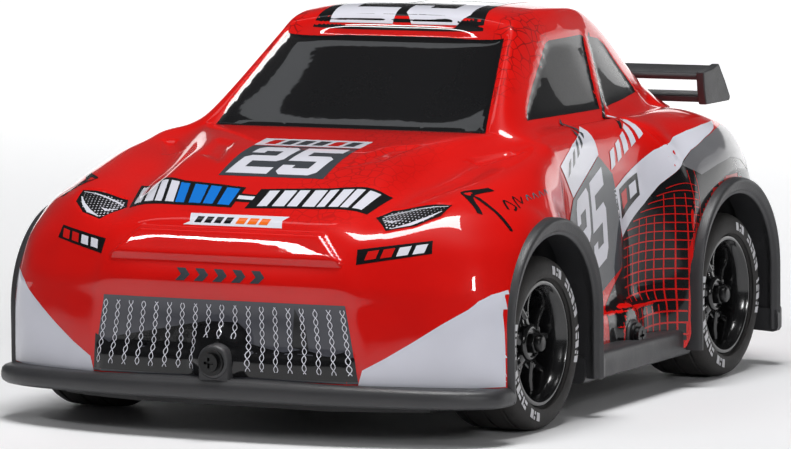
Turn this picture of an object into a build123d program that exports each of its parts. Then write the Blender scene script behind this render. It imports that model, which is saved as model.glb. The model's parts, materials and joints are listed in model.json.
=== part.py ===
"""A toy remote control touring car, 212 mm long, built from its separate pieces.

Units are millimetres. +Z is up, the car drives towards -Y, and +X is the car's own left side.
The origin is on the ground under the middle of the car's box.
"""

from build123d import *
import os
from math import acos, cos, pi, radians, sin, tan

# ---------------------------------------------------------------- driving dimensions
WIDTH = 150.0
TYRE_R = 23.0
AXLE_Z = TYRE_R
FRONT_Y = -52.5
REAR_Y = 68.5
ARCH_YS = (-51.5, 68.5)
SIDES = (1, -1)

# body shell and trim
SHELL_WALL = 1.4
SHELL_FOOT = 12.5
FOOT_TOP = 18.0
SKIRT_BOTTOM = 9.5
SKIRT_TOP = 16.5
SKIRT_LEDGE = 3.0
ARCH_CENTRE_Z = 29.0
ARCH_CUT = (28.3, 27.3)
FLARE_OUT = (28.1, 27.1)
FLARE_BAND = 1.5
BAND_IN = (FLARE_OUT[0] - FLARE_BAND, FLARE_OUT[1] - FLARE_BAND)
FLARE_LIP = (24.8, 22.5)
FLARE_X = 64.0

# chassis
FLOOR_Z = 8.0
DECK_Z = 10.0
TUB_TOP = 18.0
TUB_WALL = 2.0

# wheels
TYRE_IN_X, TYRE_OUT_X = 50.5, 71.5
RIM_R = 15.6
BARREL_R = 14.2
HUB_R = 4.2
HUB_OUT_X = 68.3
AXLE_END_X = 70.4
STUB_R = 1.5
REAR_AXLE_R = 2.0
RUN_GAP = 0.05

# steering
KINGPIN_X = 55.0
KINGPIN_R = 1.25
LOWER_BRACE = (12.5, 15.0)
UPPER_BRACE = (31.0, 33.5)
ARM_IN = 10.0
ARM_BACK = 14.0
TIE_Y = FRONT_Y + ARM_BACK
SERVO_Y = TIE_Y + ARM_BACK
TIE_Z = (23.4, 25.6)
HORN_Z = (26.2, 28.2)
TOWER_X = 33.0

# gear train: motor pinion, compound reduction gear and axle gear
PRESSURE = radians(25)
BACKLASH = 0.14
CENTRE_SLACK = 0.1
FAST_MODULE, PINION_TEETH, LARGE_TEETH = 0.6, 12, 40
SLOW_MODULE, SMALL_TEETH, AXLE_TEETH = 0.8, 12, 26
AXLE_POINT = (REAR_Y, AXLE_Z)
SLOW_ANGLE = radians(155)
FAST_ANGLE = radians(188)
SLOW_REACH = SLOW_MODULE * (SMALL_TEETH + AXLE_TEETH) / 2 + CENTRE_SLACK
FAST_REACH = FAST_MODULE * (PINION_TEETH + LARGE_TEETH) / 2 + CENTRE_SLACK
RED_POINT = (REAR_Y + SLOW_REACH * cos(SLOW_ANGLE), AXLE_Z + SLOW_REACH * sin(SLOW_ANGLE))
MOTOR_POINT = (RED_POINT[0] + FAST_REACH * cos(FAST_ANGLE), RED_POINT[1] + FAST_REACH * sin(FAST_ANGLE))
BOX_OUT_X, BOX_SPLIT_X, BOX_IN_X = -25.5, -17.5, -9.0
BOX_WALL = 1.2
BUSH_R = 3.5
RED_SHAFT_R = 1.3
MOTOR_R = 10.0

# fasteners
SCREW_R = 1.3
SCREW_CLEAR = 1.5
SMALL_SCREW_R = 1.0
SMALL_CLEAR = 1.1
FRONT_SCREW_Z = 20.6
SIDE_SCREW = (14.0, 17.5)
WING_SCREW_Y = 96.0


def finish(builder, name):
    """Labels a finished piece and writes it as its own STEP file."""
    builder.part.label = name
    export_step(builder.part, f"parts/{name}.step")


def mirrored(builder):
    """The same piece for the car's other side."""
    with BuildPart() as other:
        mirror(builder.part, about=Plane.YZ)
    return other


def symmetric(points):
    """Closes a half outline, given from the middle line outwards, with its mirror image."""
    return points + [(-x, y) for x, y in reversed(points) if x > 0]


def block(x, y, z, mode=Mode.ADD):
    """A box between three pairs of limits."""
    with BuildSketch(Plane.XY.offset(z[0])) as face:
        with Locations(((x[0] + x[1]) / 2, (y[0] + y[1]) / 2)):
            Rectangle(x[1] - x[0], y[1] - y[0])
    extrude(face.sketch, amount=z[1] - z[0], mode=mode)


def post(point, radius, z, mode=Mode.ADD):
    """An upright round post or hole at a point in plan."""
    with BuildSketch(Plane.XY.offset(z[0])) as face:
        with Locations(point):
            Circle(radius)
    extrude(face.sketch, amount=z[1] - z[0], mode=mode)


def rod(point, radius, x, mode=Mode.ADD):
    """A round rod or hole along X at a (y, z) point."""
    with BuildSketch(Plane.YZ.offset(x[0])) as face:
        with Locations(point):
            Circle(radius)
    extrude(face.sketch, amount=x[1] - x[0], mode=mode)


def lengthwise(point, radius, y, mode=Mode.ADD):
    """A round rod or hole along Y at an (x, z) point."""
    with BuildSketch(Plane.XZ.offset(-y[0])) as face:
        with Locations(point):
            Circle(radius)
    extrude(face.sketch, amount=y[0] - y[1], mode=mode)


def cross_slot(point, z):
    """The cross recess that a screwdriver fits, sunk in the top of an upright screw."""
    with BuildSketch(Plane.XY.offset(z)) as recess:
        with Locations(point):
            Rectangle(2.6, 0.6)
            Rectangle(0.6, 2.6)
    extrude(recess.sketch, amount=-0.7, mode=Mode.SUBTRACT)


def upright_screw(point, radius, z_tip, z_seat, head_r, head_h=1.4):
    """A pan head screw that stands head up on its seat."""
    post(point, radius, (z_tip, z_seat))
    post(point, head_r, (z_seat, z_seat + head_h))
    cross_slot(point, z_seat + head_h)


os.makedirs("parts", exist_ok=True)

# ---------------------------------------------------------------- body shell
# Each station is (y, foot x, side (x, z), shoulder (x, z), bonnet edge (x, z), centre z, wall inset).
STATIONS = [
    (-98.5, 32.0, (32.0, 28), (30, 36), (22, 40), 41.5, 5.5),
    (-95.5, 45.5, (45.0, 32), (42, 42), (34, 46.5), 48.5, 5.0),
    (-92.0, 55.0, (55.0, 36), (51, 47), (38, 51), 54.5, 3.8),
    (-87.0, 66.0, (66.0, 38), (59, 53), (40, 57), 58.5, 2.8),
    (-80.0, 71.0, (71.5, 39), (64, 56), (42, 61), 61.8, 1.8),
    (-70.0, 72.0, (72.0, 42), (64, 61), (42, 65), 66.0, SHELL_WALL),
    (-51.5, 71.5, (71.5, 44), (62, 66), (40, 71), 71.8, SHELL_WALL),
    (-26.0, 66.0, (66.0, 44), (60, 71), (40, 74.5), 75.0, SHELL_WALL),
    (0.0, 64.5, (62.5, 44), (57, 72.5), (40, 76), 77.0, SHELL_WALL),
    (35.0, 65.0, (63.0, 44), (57, 73), (40, 76), 77.0, SHELL_WALL),
    (55.0, 69.0, (70.0, 44), (60, 72), (42, 75.5), 76.0, SHELL_WALL),
    (70.0, 71.5, (72.0, 44), (60, 71.5), (42, 74), 75.0, SHELL_WALL),
    (85.0, 71.5, (71.5, 44), (60, 70), (42, 73), 73.5, SHELL_WALL),
    (96.0, 68.0, (67.0, 40), (60, 66), (42, 70), 71.0, 2.2),
    (102.5, 60.0, (59.0, 38), (53, 58), (40, 65), 66.5, 2.2),
]
# The cabin's levels are (z, half width, front y, rear y, corner radius).
CABIN = [
    (66.0, 53.0, -36.0, 101.0, 12.0),
    (76.0, 48.5, -24.0, 92.0, 12.0),
    (99.0, 37.5, 4.5, 57.0, 11.0),
    (104.0, 33.0, 9.0, 49.0, 10.0),
    (106.0, 24.0, 16.0, 42.0, 9.0),
]


def mix(a, b, t):
    """Blends two stations' numbers, however they are nested."""
    if isinstance(a, tuple):
        return tuple(mix(p, q, t) for p, q in zip(a, b))
    return a + (b - a) * t


def body_section(station, hollow=False):
    """The closed outline of one station, set in by the wall's inset where it is the hollow's."""
    y, foot, side, shoulder, edge, centre, inset = station
    inset = inset if hollow else 0.0
    low = SHELL_FOOT - 1 if hollow else SHELL_FOOT
    half = [
        (foot - inset, FOOT_TOP),
        (side[0] - inset, side[1]),
        (shoulder[0] - 0.75 * inset, shoulder[1] - 0.75 * inset),
        (edge[0], edge[1] - inset),
    ]
    other = [(-x, z) for x, z in reversed(half)]
    with BuildSketch(Plane.XZ.offset(-y)) as section:
        with BuildLine():
            Line((foot - inset, low), half[0])
            Spline(*half, (0, centre - inset), *other)
            Line(other[-1], (inset - foot, low))
            Line((inset - foot, low), (foot - inset, low))
        make_face()
    return section.sketch


def cabin_section(level, inset=0.0):
    """One level of the cabin, a rounded rectangle, set in and down where it is the hollow's."""
    z, half, front, rear, radius = level
    with BuildSketch(Plane.XY.offset(z - inset)) as section:
        with Locations((0, (front + rear) / 2)):
            RectangleRounded(2 * (half - inset), rear - front - 2 * inset, radius - inset)
    return section.sketch


def arch_sketch(arch_y, size, foot_z, mode=Mode.ADD):
    """A wheel arch in the side plane: a half ellipse standing on straight legs."""
    a, b = size
    with BuildLine() as outline:
        EllipticalCenterArc((arch_y, ARCH_CENTRE_Z), a, b, start_angle=0, arc_size=180)
        Polyline(
            (arch_y - a, ARCH_CENTRE_Z), (arch_y - a, foot_z),
            (arch_y + a, foot_z), (arch_y + a, ARCH_CENTRE_Z),
        )
    make_face(outline.edges(), mode=mode)


def arch_prism(size, foot_z=0.0):
    """Both axles' arches, right across the car."""
    for arch_y in ARCH_YS:
        with BuildSketch(Plane.YZ.offset(-WIDTH / 2 - 5)) as arch:
            arch_sketch(arch_y, size, foot_z)
        extrude(arch.sketch, amount=WIDTH + 10, mode=Mode.SUBTRACT)


def station_at(index, other, step):
    """The station a wall's thickness in from one end of the body."""
    a, b = STATIONS[index], STATIONS[other]
    return mix(a, b, step / abs(b[0] - a[0]))


HOLLOW = [station_at(0, 1, SHELL_WALL)] + STATIONS[1:-1] + [station_at(-1, -2, SHELL_WALL)]
FOOT_PLAN = symmetric([(0, STATIONS[0][0])] + [(s[1], s[0]) for s in STATIONS] + [(0, STATIONS[-1][0])])

with BuildPart() as body_shell:
    loft([body_section(s) for s in STATIONS], ruled=True)
    loft([cabin_section(c) for c in CABIN], ruled=True)
    loft([body_section(s, hollow=True) for s in HOLLOW], ruled=True, mode=Mode.SUBTRACT)
    loft([cabin_section(c, SHELL_WALL) for c in CABIN], ruled=True, mode=Mode.SUBTRACT)
    arch_prism(ARCH_CUT)
    lengthwise((0, FRONT_SCREW_Z), SCREW_CLEAR, (-101, -90), mode=Mode.SUBTRACT)
    lengthwise((0, FRONT_SCREW_Z), SCREW_CLEAR, (95, 105), mode=Mode.SUBTRACT)
    rod(SIDE_SCREW, SCREW_CLEAR, (60, 70), mode=Mode.SUBTRACT)
    rod(SIDE_SCREW, SCREW_CLEAR, (-70, -60), mode=Mode.SUBTRACT)
    for wing_side in SIDES:
        post((wing_side * 30, WING_SCREW_Y), SMALL_CLEAR, (60, 80), mode=Mode.SUBTRACT)
finish(body_shell, "body_shell")

# ---------------------------------------------------------------- skirt: lip, flares and sills
SKIRT_PLAN = symmetric([
    (0, -104.4), (30, -103.2), (55, -98), (70, -90.5), (75, -84), (75, -23.4), (70, -19),
    (70, 36.5), (75, 40.4), (75, 96.6), (71, 101), (55, 103.8), (0, 104.4),
])

with BuildPart() as skirt_frame:
    with BuildSketch(Plane.XY.offset(SKIRT_BOTTOM)):
        Polygon(*SKIRT_PLAN, align=None)
    extrude(amount=SKIRT_TOP - SKIRT_BOTTOM)
    with BuildSketch(Plane.XY.offset(SHELL_FOOT)):
        Polygon(*FOOT_PLAN, align=None)
    extrude(amount=SKIRT_TOP, mode=Mode.SUBTRACT)
    with BuildSketch(Plane.XY):
        Polygon(*FOOT_PLAN, align=None)
        offset(amount=-SKIRT_LEDGE, kind=Kind.INTERSECTION, mode=Mode.REPLACE)
    extrude(amount=SKIRT_TOP, mode=Mode.SUBTRACT)
    arch_prism(BAND_IN)
    for flare_side in SIDES:
        for arch_y in ARCH_YS:
            with BuildSketch(Plane.YZ.offset(flare_side * FLARE_X)):
                arch_sketch(arch_y, FLARE_OUT, SKIRT_BOTTOM + 1)
                arch_sketch(arch_y, BAND_IN, 0, mode=Mode.SUBTRACT)
            extrude(amount=flare_side * (WIDTH / 2 - FLARE_X))
            with BuildSketch(Plane.YZ.offset(flare_side * (WIDTH / 2 - FLARE_BAND))):
                arch_sketch(arch_y, FLARE_OUT, SKIRT_BOTTOM + 1)
                arch_sketch(arch_y, FLARE_LIP, 0, mode=Mode.SUBTRACT)
            extrude(amount=flare_side * FLARE_BAND)
        with BuildSketch(Plane.YZ.offset(flare_side * 64.9)):
            with Locations(SIDE_SCREW):
                Circle(4.5)
            with Locations((SIDE_SCREW[0], (SKIRT_BOTTOM + SIDE_SCREW[1]) / 2)):
                Rectangle(9, SIDE_SCREW[1] - SKIRT_BOTTOM)
        extrude(amount=flare_side * 2.1)
        rod(SIDE_SCREW, SCREW_CLEAR, (flare_side * 60, flare_side * 75), mode=Mode.SUBTRACT)
        rod(SIDE_SCREW, 4.0, (flare_side * 67, flare_side * 75), mode=Mode.SUBTRACT)
    lengthwise((0, FRONT_SCREW_Z), 4.5, (-98.5, -104))
    lengthwise((0, FRONT_SCREW_Z), 4.5, (102.5, 104))
    lengthwise((0, FRONT_SCREW_Z), SCREW_CLEAR, (-97, -106), mode=Mode.SUBTRACT)
    lengthwise((0, FRONT_SCREW_Z), SCREW_CLEAR, (101, 106), mode=Mode.SUBTRACT)
    lengthwise((0, FRONT_SCREW_Z), 4.0, (-104, -106), mode=Mode.SUBTRACT)
    lengthwise((0, FRONT_SCREW_Z), 4.0, (104, 106), mode=Mode.SUBTRACT)
finish(skirt_frame, "skirt_frame")


def washer_screw_y(seat_y, toward, length):
    """A washer head screw along Y, its head towards -Y or +Y."""
    lengthwise((0, FRONT_SCREW_Z), SCREW_R, (seat_y, seat_y - toward * length))
    lengthwise((0, FRONT_SCREW_Z), 3.5, (seat_y, seat_y + toward * 0.8))
    lengthwise((0, FRONT_SCREW_Z), 2.5, (seat_y + toward * 0.8, seat_y + toward * 2.0))
    with BuildSketch(Plane.XZ.offset(-(seat_y + toward * 2.0))) as recess:
        with Locations((0, FRONT_SCREW_Z)):
            Rectangle(2.8, 0.7)
            Rectangle(0.7, 2.8)
    extrude(recess.sketch, amount=toward * 0.8, mode=Mode.SUBTRACT)


def washer_screw_x(side):
    """A washer head screw along X through the tab on one sill."""
    rod(SIDE_SCREW, SCREW_R, (side * 57, side * 67))
    rod(SIDE_SCREW, 3.5, (side * 67, side * 67.8))
    rod(SIDE_SCREW, 2.5, (side * 67.8, side * 69))
    with BuildSketch(Plane.YZ.offset(side * 69)) as recess:
        with Locations(SIDE_SCREW):
            Rectangle(2.8, 0.7)
            Rectangle(0.7, 2.8)
    extrude(recess.sketch, amount=-side * 0.8, mode=Mode.SUBTRACT)


with BuildPart() as body_screws:
    washer_screw_y(-104, -1, 15)
    washer_screw_y(104, 1, 12)
    for screw_side in SIDES:
        washer_screw_x(screw_side)
finish(body_screws, "body_screws")

# ---------------------------------------------------------------- rear wing
WING_UPPER = [(84.2, 81.4), (84.2, 83.6), (90, 84.2), (94.4, 85.2), (95.6, 83.8), (90.4, 82.0)]
WING_LOWER = [(86, 75), (86, 77.2), (100.4, 77.2), (101.6, 75)]
WING_PLATE = [(85, 74.6), (84, 79), (83.4, 84), (90, 84.6), (94.4, 85.6), (102.4, 75.8), (101.8, 74.6)]

with BuildPart() as rear_wing:
    for profile in (WING_UPPER, WING_LOWER):
        with BuildSketch(Plane.YZ.offset(-55.5)):
            Polygon(*profile, align=None)
        extrude(amount=111)
    for wing_side in SIDES:
        with BuildSketch(Plane.YZ.offset(wing_side * 54.5)):
            Polygon(*WING_PLATE, align=None)
        extrude(amount=wing_side * 2.5)
        block((wing_side * 30 - 3.5, wing_side * 30 + 3.5), (93, 99), (68, 75.2))
        block((wing_side * 30 - 2.5, wing_side * 30 + 2.5), (87.5, 92), (77, 82.6))
    loft([body_section(s) for s in STATIONS], ruled=True, mode=Mode.SUBTRACT)
    loft([cabin_section(c) for c in CABIN], ruled=True, mode=Mode.SUBTRACT)
    for wing_side in SIDES:
        post((wing_side * 30, WING_SCREW_Y), SMALL_SCREW_R, (66, 76.4), mode=Mode.SUBTRACT)
finish(rear_wing, "rear_wing")

with BuildPart() as wing_screws:
    for wing_side in SIDES:
        post((wing_side * 30, WING_SCREW_Y), SMALL_SCREW_R, (67, 76))
        post((wing_side * 30, WING_SCREW_Y), 2.2, (65.2, 67))
finish(wing_screws, "wing_screws")

# ---------------------------------------------------------------- chassis tub
TUB_PLAN = symmetric([
    (0, -94), (28, -94), (46, -89.5), (54, -86), (54, -82), (42, -78), (42, -26), (58, -20),
    (58, 36), (46, 42), (46, 94), (40, 98), (0, 98),
])
BAY_X, BAY_Y, BAY_TOP = 26.0, (-12.0, 18.0), 25.0
BAY_WALL = 1.5
COVER_SCREW = (0.0, 23.0)
COVER_BOTTOM = 5.5
COVER_SEAT = 6.9
SWITCH_X, SWITCH_Y = -40.0, 28.0
BOARD_POSTS = [(17.5, -8.5), (-17.5, 14.5)]
BOARD_Z = 29.5
SERVO_TABS = [(-8.2, SERVO_Y), (19.2, SERVO_Y)]
SUPPORT_X = (36.0, 40.0)
SUPPORT_SCREW_REACH = 9.0

with BuildPart() as chassis_tub:
    with BuildSketch(Plane.XY.offset(FLOOR_Z)):
        Polygon(*TUB_PLAN, align=None)
    extrude(amount=DECK_Z - FLOOR_Z)
    with BuildSketch(Plane.XY.offset(DECK_Z)):
        Polygon(*TUB_PLAN, align=None)
        offset(amount=-TUB_WALL, kind=Kind.INTERSECTION, mode=Mode.SUBTRACT)
    extrude(amount=TUB_TOP - DECK_Z)
    block((-60, 60), (FRONT_Y - 7, FRONT_Y + 7), (LOWER_BRACE[0], TUB_TOP), mode=Mode.SUBTRACT)
    block((-38, 38), (FRONT_Y - 6, FRONT_Y + 6), (DECK_Z, LOWER_BRACE[0]))
    block(
        (-BAY_X - BAY_WALL, BAY_X + BAY_WALL), (BAY_Y[0] - BAY_WALL, BAY_Y[1] + BAY_WALL),
        (DECK_Z, BAY_TOP + BAY_WALL),
    )
    block((-BAY_X, BAY_X), BAY_Y, (FLOOR_Z, BAY_TOP), mode=Mode.SUBTRACT)
    for post_point in BOARD_POSTS:
        post(post_point, 2.4, (BAY_TOP, BOARD_Z))
        post(post_point, SMALL_SCREW_R, (BAY_TOP + 1, BOARD_Z), mode=Mode.SUBTRACT)
    for post_x, post_y in SERVO_TABS:
        block((post_x - 1.8, post_x + 1.8), (post_y - 4, post_y + 4), (DECK_Z, 19))
        post((post_x, post_y), SMALL_SCREW_R, (13, 19), mode=Mode.SUBTRACT)
    block((-5, 5), (-96.9, -86), (13, 26))
    block((-5, 5), (-94, -86), (DECK_Z, 13))
    lengthwise((0, FRONT_SCREW_Z), SCREW_R, (-96.9, -88.5), mode=Mode.SUBTRACT)
    block((-5, 5), (90, 100.9), (13, 26))
    block((-5, 5), (90, 98), (DECK_Z, 13))
    lengthwise((0, FRONT_SCREW_Z), SCREW_R, (91, 100.9), mode=Mode.SUBTRACT)
    for post_side in SIDES:
        block((post_side * 58 - 3.2, post_side * 58 + 3.2), (SIDE_SCREW[0] - 5, SIDE_SCREW[0] + 5), (13, 23))
        rod(SIDE_SCREW, SCREW_R, (post_side * 56.5, post_side * 62), mode=Mode.SUBTRACT)
    post(COVER_SCREW, 3.2, (DECK_Z, 17))
    post(COVER_SCREW, SCREW_R, (FLOOR_Z, 15), mode=Mode.SUBTRACT)
    block((SWITCH_X - 2.1, SWITCH_X + 2.1), (SWITCH_Y - 4.1, SWITCH_Y + 4.1), (FLOOR_Z, DECK_Z),
          mode=Mode.SUBTRACT)
    for support_side in SIDES:
        for reach in (-SUPPORT_SCREW_REACH, SUPPORT_SCREW_REACH):
            post((support_side * 38, REAR_Y + reach), SMALL_SCREW_R, (FLOOR_Z, DECK_Z), mode=Mode.SUBTRACT)
    for brace_side in SIDES:
        post((brace_side * 18, FRONT_Y), SCREW_R, (FLOOR_Z + 0.5, LOWER_BRACE[0]), mode=Mode.SUBTRACT)
finish(chassis_tub, "chassis_tub")

# ---------------------------------------------------------------- battery, its cover and the board
with BuildPart() as battery_pack:
    with BuildSketch(Plane.YZ.offset(-25)):
        with Locations((-4, DECK_Z + 7), (10, DECK_Z + 7)):
            Circle(7)
        make_hull()
    extrude(amount=50)
finish(battery_pack, "battery_pack")

with BuildPart() as battery_cover:
    block((-29, 29), (BAY_Y[0] - 3, BAY_Y[1] + 9), (COVER_BOTTOM, FLOOR_Z))
    block((-BAY_X + 0.2, BAY_X - 0.2), (BAY_Y[0] + 0.2, BAY_Y[1] - 0.2), (FLOOR_Z, DECK_Z))
    post(COVER_SCREW, SCREW_CLEAR, (COVER_BOTTOM, FLOOR_Z), mode=Mode.SUBTRACT)
    post(COVER_SCREW, 3.0, (COVER_BOTTOM, COVER_SEAT), mode=Mode.SUBTRACT)
    for groove in range(5):
        block((-8, 8), (-6 + 3 * groove, -5 + 3 * groove), (COVER_BOTTOM, COVER_BOTTOM + 0.5),
              mode=Mode.SUBTRACT)
finish(battery_cover, "battery_cover")

with BuildPart() as battery_cover_screw:
    post(COVER_SCREW, SCREW_R, (COVER_SEAT, 14.5))
    post(COVER_SCREW, 2.6, (COVER_SEAT - 1.2, COVER_SEAT))
finish(battery_cover_screw, "battery_cover_screw")

with BuildPart() as circuit_board:
    block((-21, 21), (-12, 18), (BOARD_Z, BOARD_Z + 1.5))
    block((-6, 4), (-4, 6), (BOARD_Z + 1.5, BOARD_Z + 3))
    block((8, 16), (2, 12), (BOARD_Z + 1.5, BOARD_Z + 6))
    block((-16, -8), (-10, -6), (BOARD_Z + 1.5, BOARD_Z + 5))
    post((0, 12), 3.2, (BOARD_Z + 1.5, BOARD_Z + 9))
    for post_point in BOARD_POSTS:
        post(post_point, SMALL_CLEAR, (BOARD_Z, BOARD_Z + 2), mode=Mode.SUBTRACT)
finish(circuit_board, "circuit_board")

with BuildPart() as board_screws:
    for post_point in BOARD_POSTS:
        upright_screw(post_point, SMALL_SCREW_R, BAY_TOP + 1.2, BOARD_Z + 1.5, 2.0)
finish(board_screws, "board_screws")

with BuildPart() as power_switch_body:
    block((SWITCH_X - 3.5, SWITCH_X + 3.5), (SWITCH_Y - 7, SWITCH_Y + 7), (DECK_Z, 15.5))
    block((SWITCH_X - 2.1, SWITCH_X + 2.1), (SWITCH_Y - 4.1, SWITCH_Y + 4.1), (DECK_Z, 12.6),
          mode=Mode.SUBTRACT)
finish(power_switch_body, "power_switch_body")

with BuildPart() as power_switch_knob:
    block((SWITCH_X - 1.8, SWITCH_X + 1.8), (SWITCH_Y - 3.6, SWITCH_Y + 0.4), (6.4, 12.3))
finish(power_switch_knob, "power_switch_knob")

# ---------------------------------------------------------------- steering
with BuildPart() as steering_servo:
    block((-6, 17), (SERVO_Y - 6, SERVO_Y + 6), (DECK_Z, 24))
    block((-10.4, 21.4), (SERVO_Y - 5, SERVO_Y + 5), (19, 21))
    post((0, SERVO_Y), 3.4, (24, 26))
    post((0, SERVO_Y), 2 + RUN_GAP, (20.5, 26), mode=Mode.SUBTRACT)
    for tab_point in SERVO_TABS:
        post(tab_point, SMALL_CLEAR, (19, 21), mode=Mode.SUBTRACT)
finish(steering_servo, "steering_servo")

with BuildPart() as servo_screws:
    for tab_point in SERVO_TABS:
        upright_screw(tab_point, SMALL_SCREW_R, 14, 21, 1.8)
finish(servo_screws, "servo_screws")

with BuildPart() as servo_horn:
    post((0, SERVO_Y), 2, (21, HORN_Z[1]))
    with BuildSketch(Plane.XY.offset(HORN_Z[0])):
        with Locations((0, (SERVO_Y + TIE_Y) / 2)):
            SlotCenterToCenter(ARM_BACK, 5.2, rotation=90)
    extrude(amount=HORN_Z[1] - HORN_Z[0])
    post((0, TIE_Y), 1.0, (TIE_Z[0] - 0.4, HORN_Z[0]))
    post((0, SERVO_Y), 0.8, (24, HORN_Z[1]), mode=Mode.SUBTRACT)
finish(servo_horn, "servo_horn")

with BuildPart() as horn_screw:
    upright_screw((0, SERVO_Y), 0.8, 24.2, HORN_Z[1], 2.0)
finish(horn_screw, "horn_screw")

SLOT_SHIFT = -0.7

with BuildPart() as tie_bar:
    with BuildSketch(Plane.XY.offset(TIE_Z[0])):
        with Locations((0, TIE_Y)):
            Rectangle(2 * (KINGPIN_X - ARM_IN), 3.2)
            Rectangle(8, 6.4)
        with Locations((KINGPIN_X - ARM_IN, TIE_Y + SLOT_SHIFT), (ARM_IN - KINGPIN_X, TIE_Y + SLOT_SHIFT)):
            Rectangle(5, 11.5)
            Rectangle(3.0, 8.5, mode=Mode.SUBTRACT)
        with Locations((0, TIE_Y + 0.35)):
            Rectangle(2.4, 3.1, mode=Mode.SUBTRACT)
    extrude(amount=TIE_Z[1] - TIE_Z[0])
finish(tie_bar, "tie_bar")

BRACE_PLAN = symmetric([
    (0, FRONT_Y - 6), (37, FRONT_Y - 6), (45, FRONT_Y - 3.5), (KINGPIN_X, FRONT_Y - 3.5),
    (KINGPIN_X, FRONT_Y + 3.5), (45, FRONT_Y + 3.5), (37, FRONT_Y + 6), (0, FRONT_Y + 6),
])


def brace_plate(z):
    """A plate across the car that holds one end of both kingpins."""
    with BuildSketch(Plane.XY.offset(z[0])) as plate:
        Polygon(*BRACE_PLAN, align=None)
        with Locations((KINGPIN_X, FRONT_Y), (-KINGPIN_X, FRONT_Y)):
            Circle(3.5)
        with Locations((KINGPIN_X, FRONT_Y), (-KINGPIN_X, FRONT_Y)):
            Circle(KINGPIN_R, mode=Mode.SUBTRACT)
    extrude(plate.sketch, amount=z[1] - z[0])


with BuildPart() as front_lower_brace:
    brace_plate(LOWER_BRACE)
    for brace_side in SIDES:
        post((brace_side * TOWER_X, FRONT_Y), 3.8, (LOWER_BRACE[1], UPPER_BRACE[0]))
        post((brace_side * TOWER_X, FRONT_Y), SCREW_R, (22, UPPER_BRACE[0]), mode=Mode.SUBTRACT)
        post((brace_side * 18, FRONT_Y), SCREW_CLEAR, LOWER_BRACE, mode=Mode.SUBTRACT)
finish(front_lower_brace, "front_lower_brace")

with BuildPart() as front_upper_brace:
    brace_plate(UPPER_BRACE)
    with BuildSketch(Plane.XY.offset(UPPER_BRACE[0])):
        with Locations((0, FRONT_Y)):
            Rectangle(44, 6)
    extrude(amount=UPPER_BRACE[1] - UPPER_BRACE[0], mode=Mode.SUBTRACT)
    for brace_side in SIDES:
        post((brace_side * TOWER_X, FRONT_Y), SCREW_CLEAR, UPPER_BRACE, mode=Mode.SUBTRACT)
finish(front_upper_brace, "front_upper_brace")

with BuildPart() as brace_screws:
    for brace_side in SIDES:
        upright_screw((brace_side * TOWER_X, FRONT_Y), SCREW_R, 23, UPPER_BRACE[1], 2.6)
        upright_screw((brace_side * 18, FRONT_Y), SCREW_R, FLOOR_Z + 1, LOWER_BRACE[1], 2.6)
finish(brace_screws, "brace_screws")

with BuildPart() as kingpins:
    for pin_side in SIDES:
        upright_screw((pin_side * KINGPIN_X, FRONT_Y), KINGPIN_R, LOWER_BRACE[0], UPPER_BRACE[1], 2.4, 1.2)
finish(kingpins, "kingpins")

with BuildPart() as knuckle_left:
    post((KINGPIN_X, FRONT_Y), 3.4, (LOWER_BRACE[1] + RUN_GAP, UPPER_BRACE[0] - RUN_GAP))
    rod((FRONT_Y, AXLE_Z), 3.2, (KINGPIN_X, 60.0))
    with BuildSketch(Plane.XY.offset(20.5)):
        with BuildLine():
            Line((KINGPIN_X, FRONT_Y), (KINGPIN_X - ARM_IN, TIE_Y))
        trace(line_width=4.4)
        with Locations((KINGPIN_X - ARM_IN, TIE_Y)):
            Circle(2.2)
    extrude(amount=2.5)
    post((KINGPIN_X - ARM_IN, TIE_Y), 0.8, (23, 27))
    post((KINGPIN_X, FRONT_Y), KINGPIN_R + RUN_GAP, (14, 32), mode=Mode.SUBTRACT)
    rod((FRONT_Y, AXLE_Z), STUB_R, (57.4, 60.5), mode=Mode.SUBTRACT)
finish(knuckle_left, "knuckle_left")
finish(mirrored(knuckle_left), "knuckle_right")

with BuildPart() as stub_axle_left:
    rod((FRONT_Y, AXLE_Z), STUB_R, (57.4, AXLE_END_X))
finish(stub_axle_left, "stub_axle_left")
finish(mirrored(stub_axle_left), "stub_axle_right")

# ---------------------------------------------------------------- wheels
SPOKES = 5


def wheel_plane(axle_y):
    """The plane through a left wheel's axis: local x runs outwards, local y upwards."""
    return Plane(origin=(0, axle_y, AXLE_Z), x_dir=(1, 0, 0), z_dir=(0, -1, 0))


def left_rim(axle_y, bore, hub_in_x):
    """A deep rim: barrel with an outer lip, ten spokes in five pairs, and a hub."""
    axis = Axis((0, axle_y, AXLE_Z), (1, 0, 0))
    with BuildPart() as rim:
        with BuildSketch(wheel_plane(axle_y)):
            Polygon(
                (51.3, BARREL_R), (51.3, RIM_R), (69.2, RIM_R), (69.2, 16.4), (70.8, 16.4),
                (70.8, 14.9), (68.5, BARREL_R), align=None,
            )
        revolve(axis=axis)
        with BuildSketch(Plane.YZ.offset(63.5)):
            with Locations((axle_y, AXLE_Z)):
                with PolarLocations(9.3, SPOKES, start_angle=90):
                    with Locations((0, 1.9)):
                        Rectangle(11.6, 2.2, rotation=9)
                    with Locations((0, -1.9)):
                        Rectangle(11.6, 2.2, rotation=-9)
        extrude(amount=3)
        rod((axle_y, AXLE_Z), HUB_R, (hub_in_x, HUB_OUT_X))
        rod((axle_y, AXLE_Z), bore, (hub_in_x, HUB_OUT_X), mode=Mode.SUBTRACT)
    return rim


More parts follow.
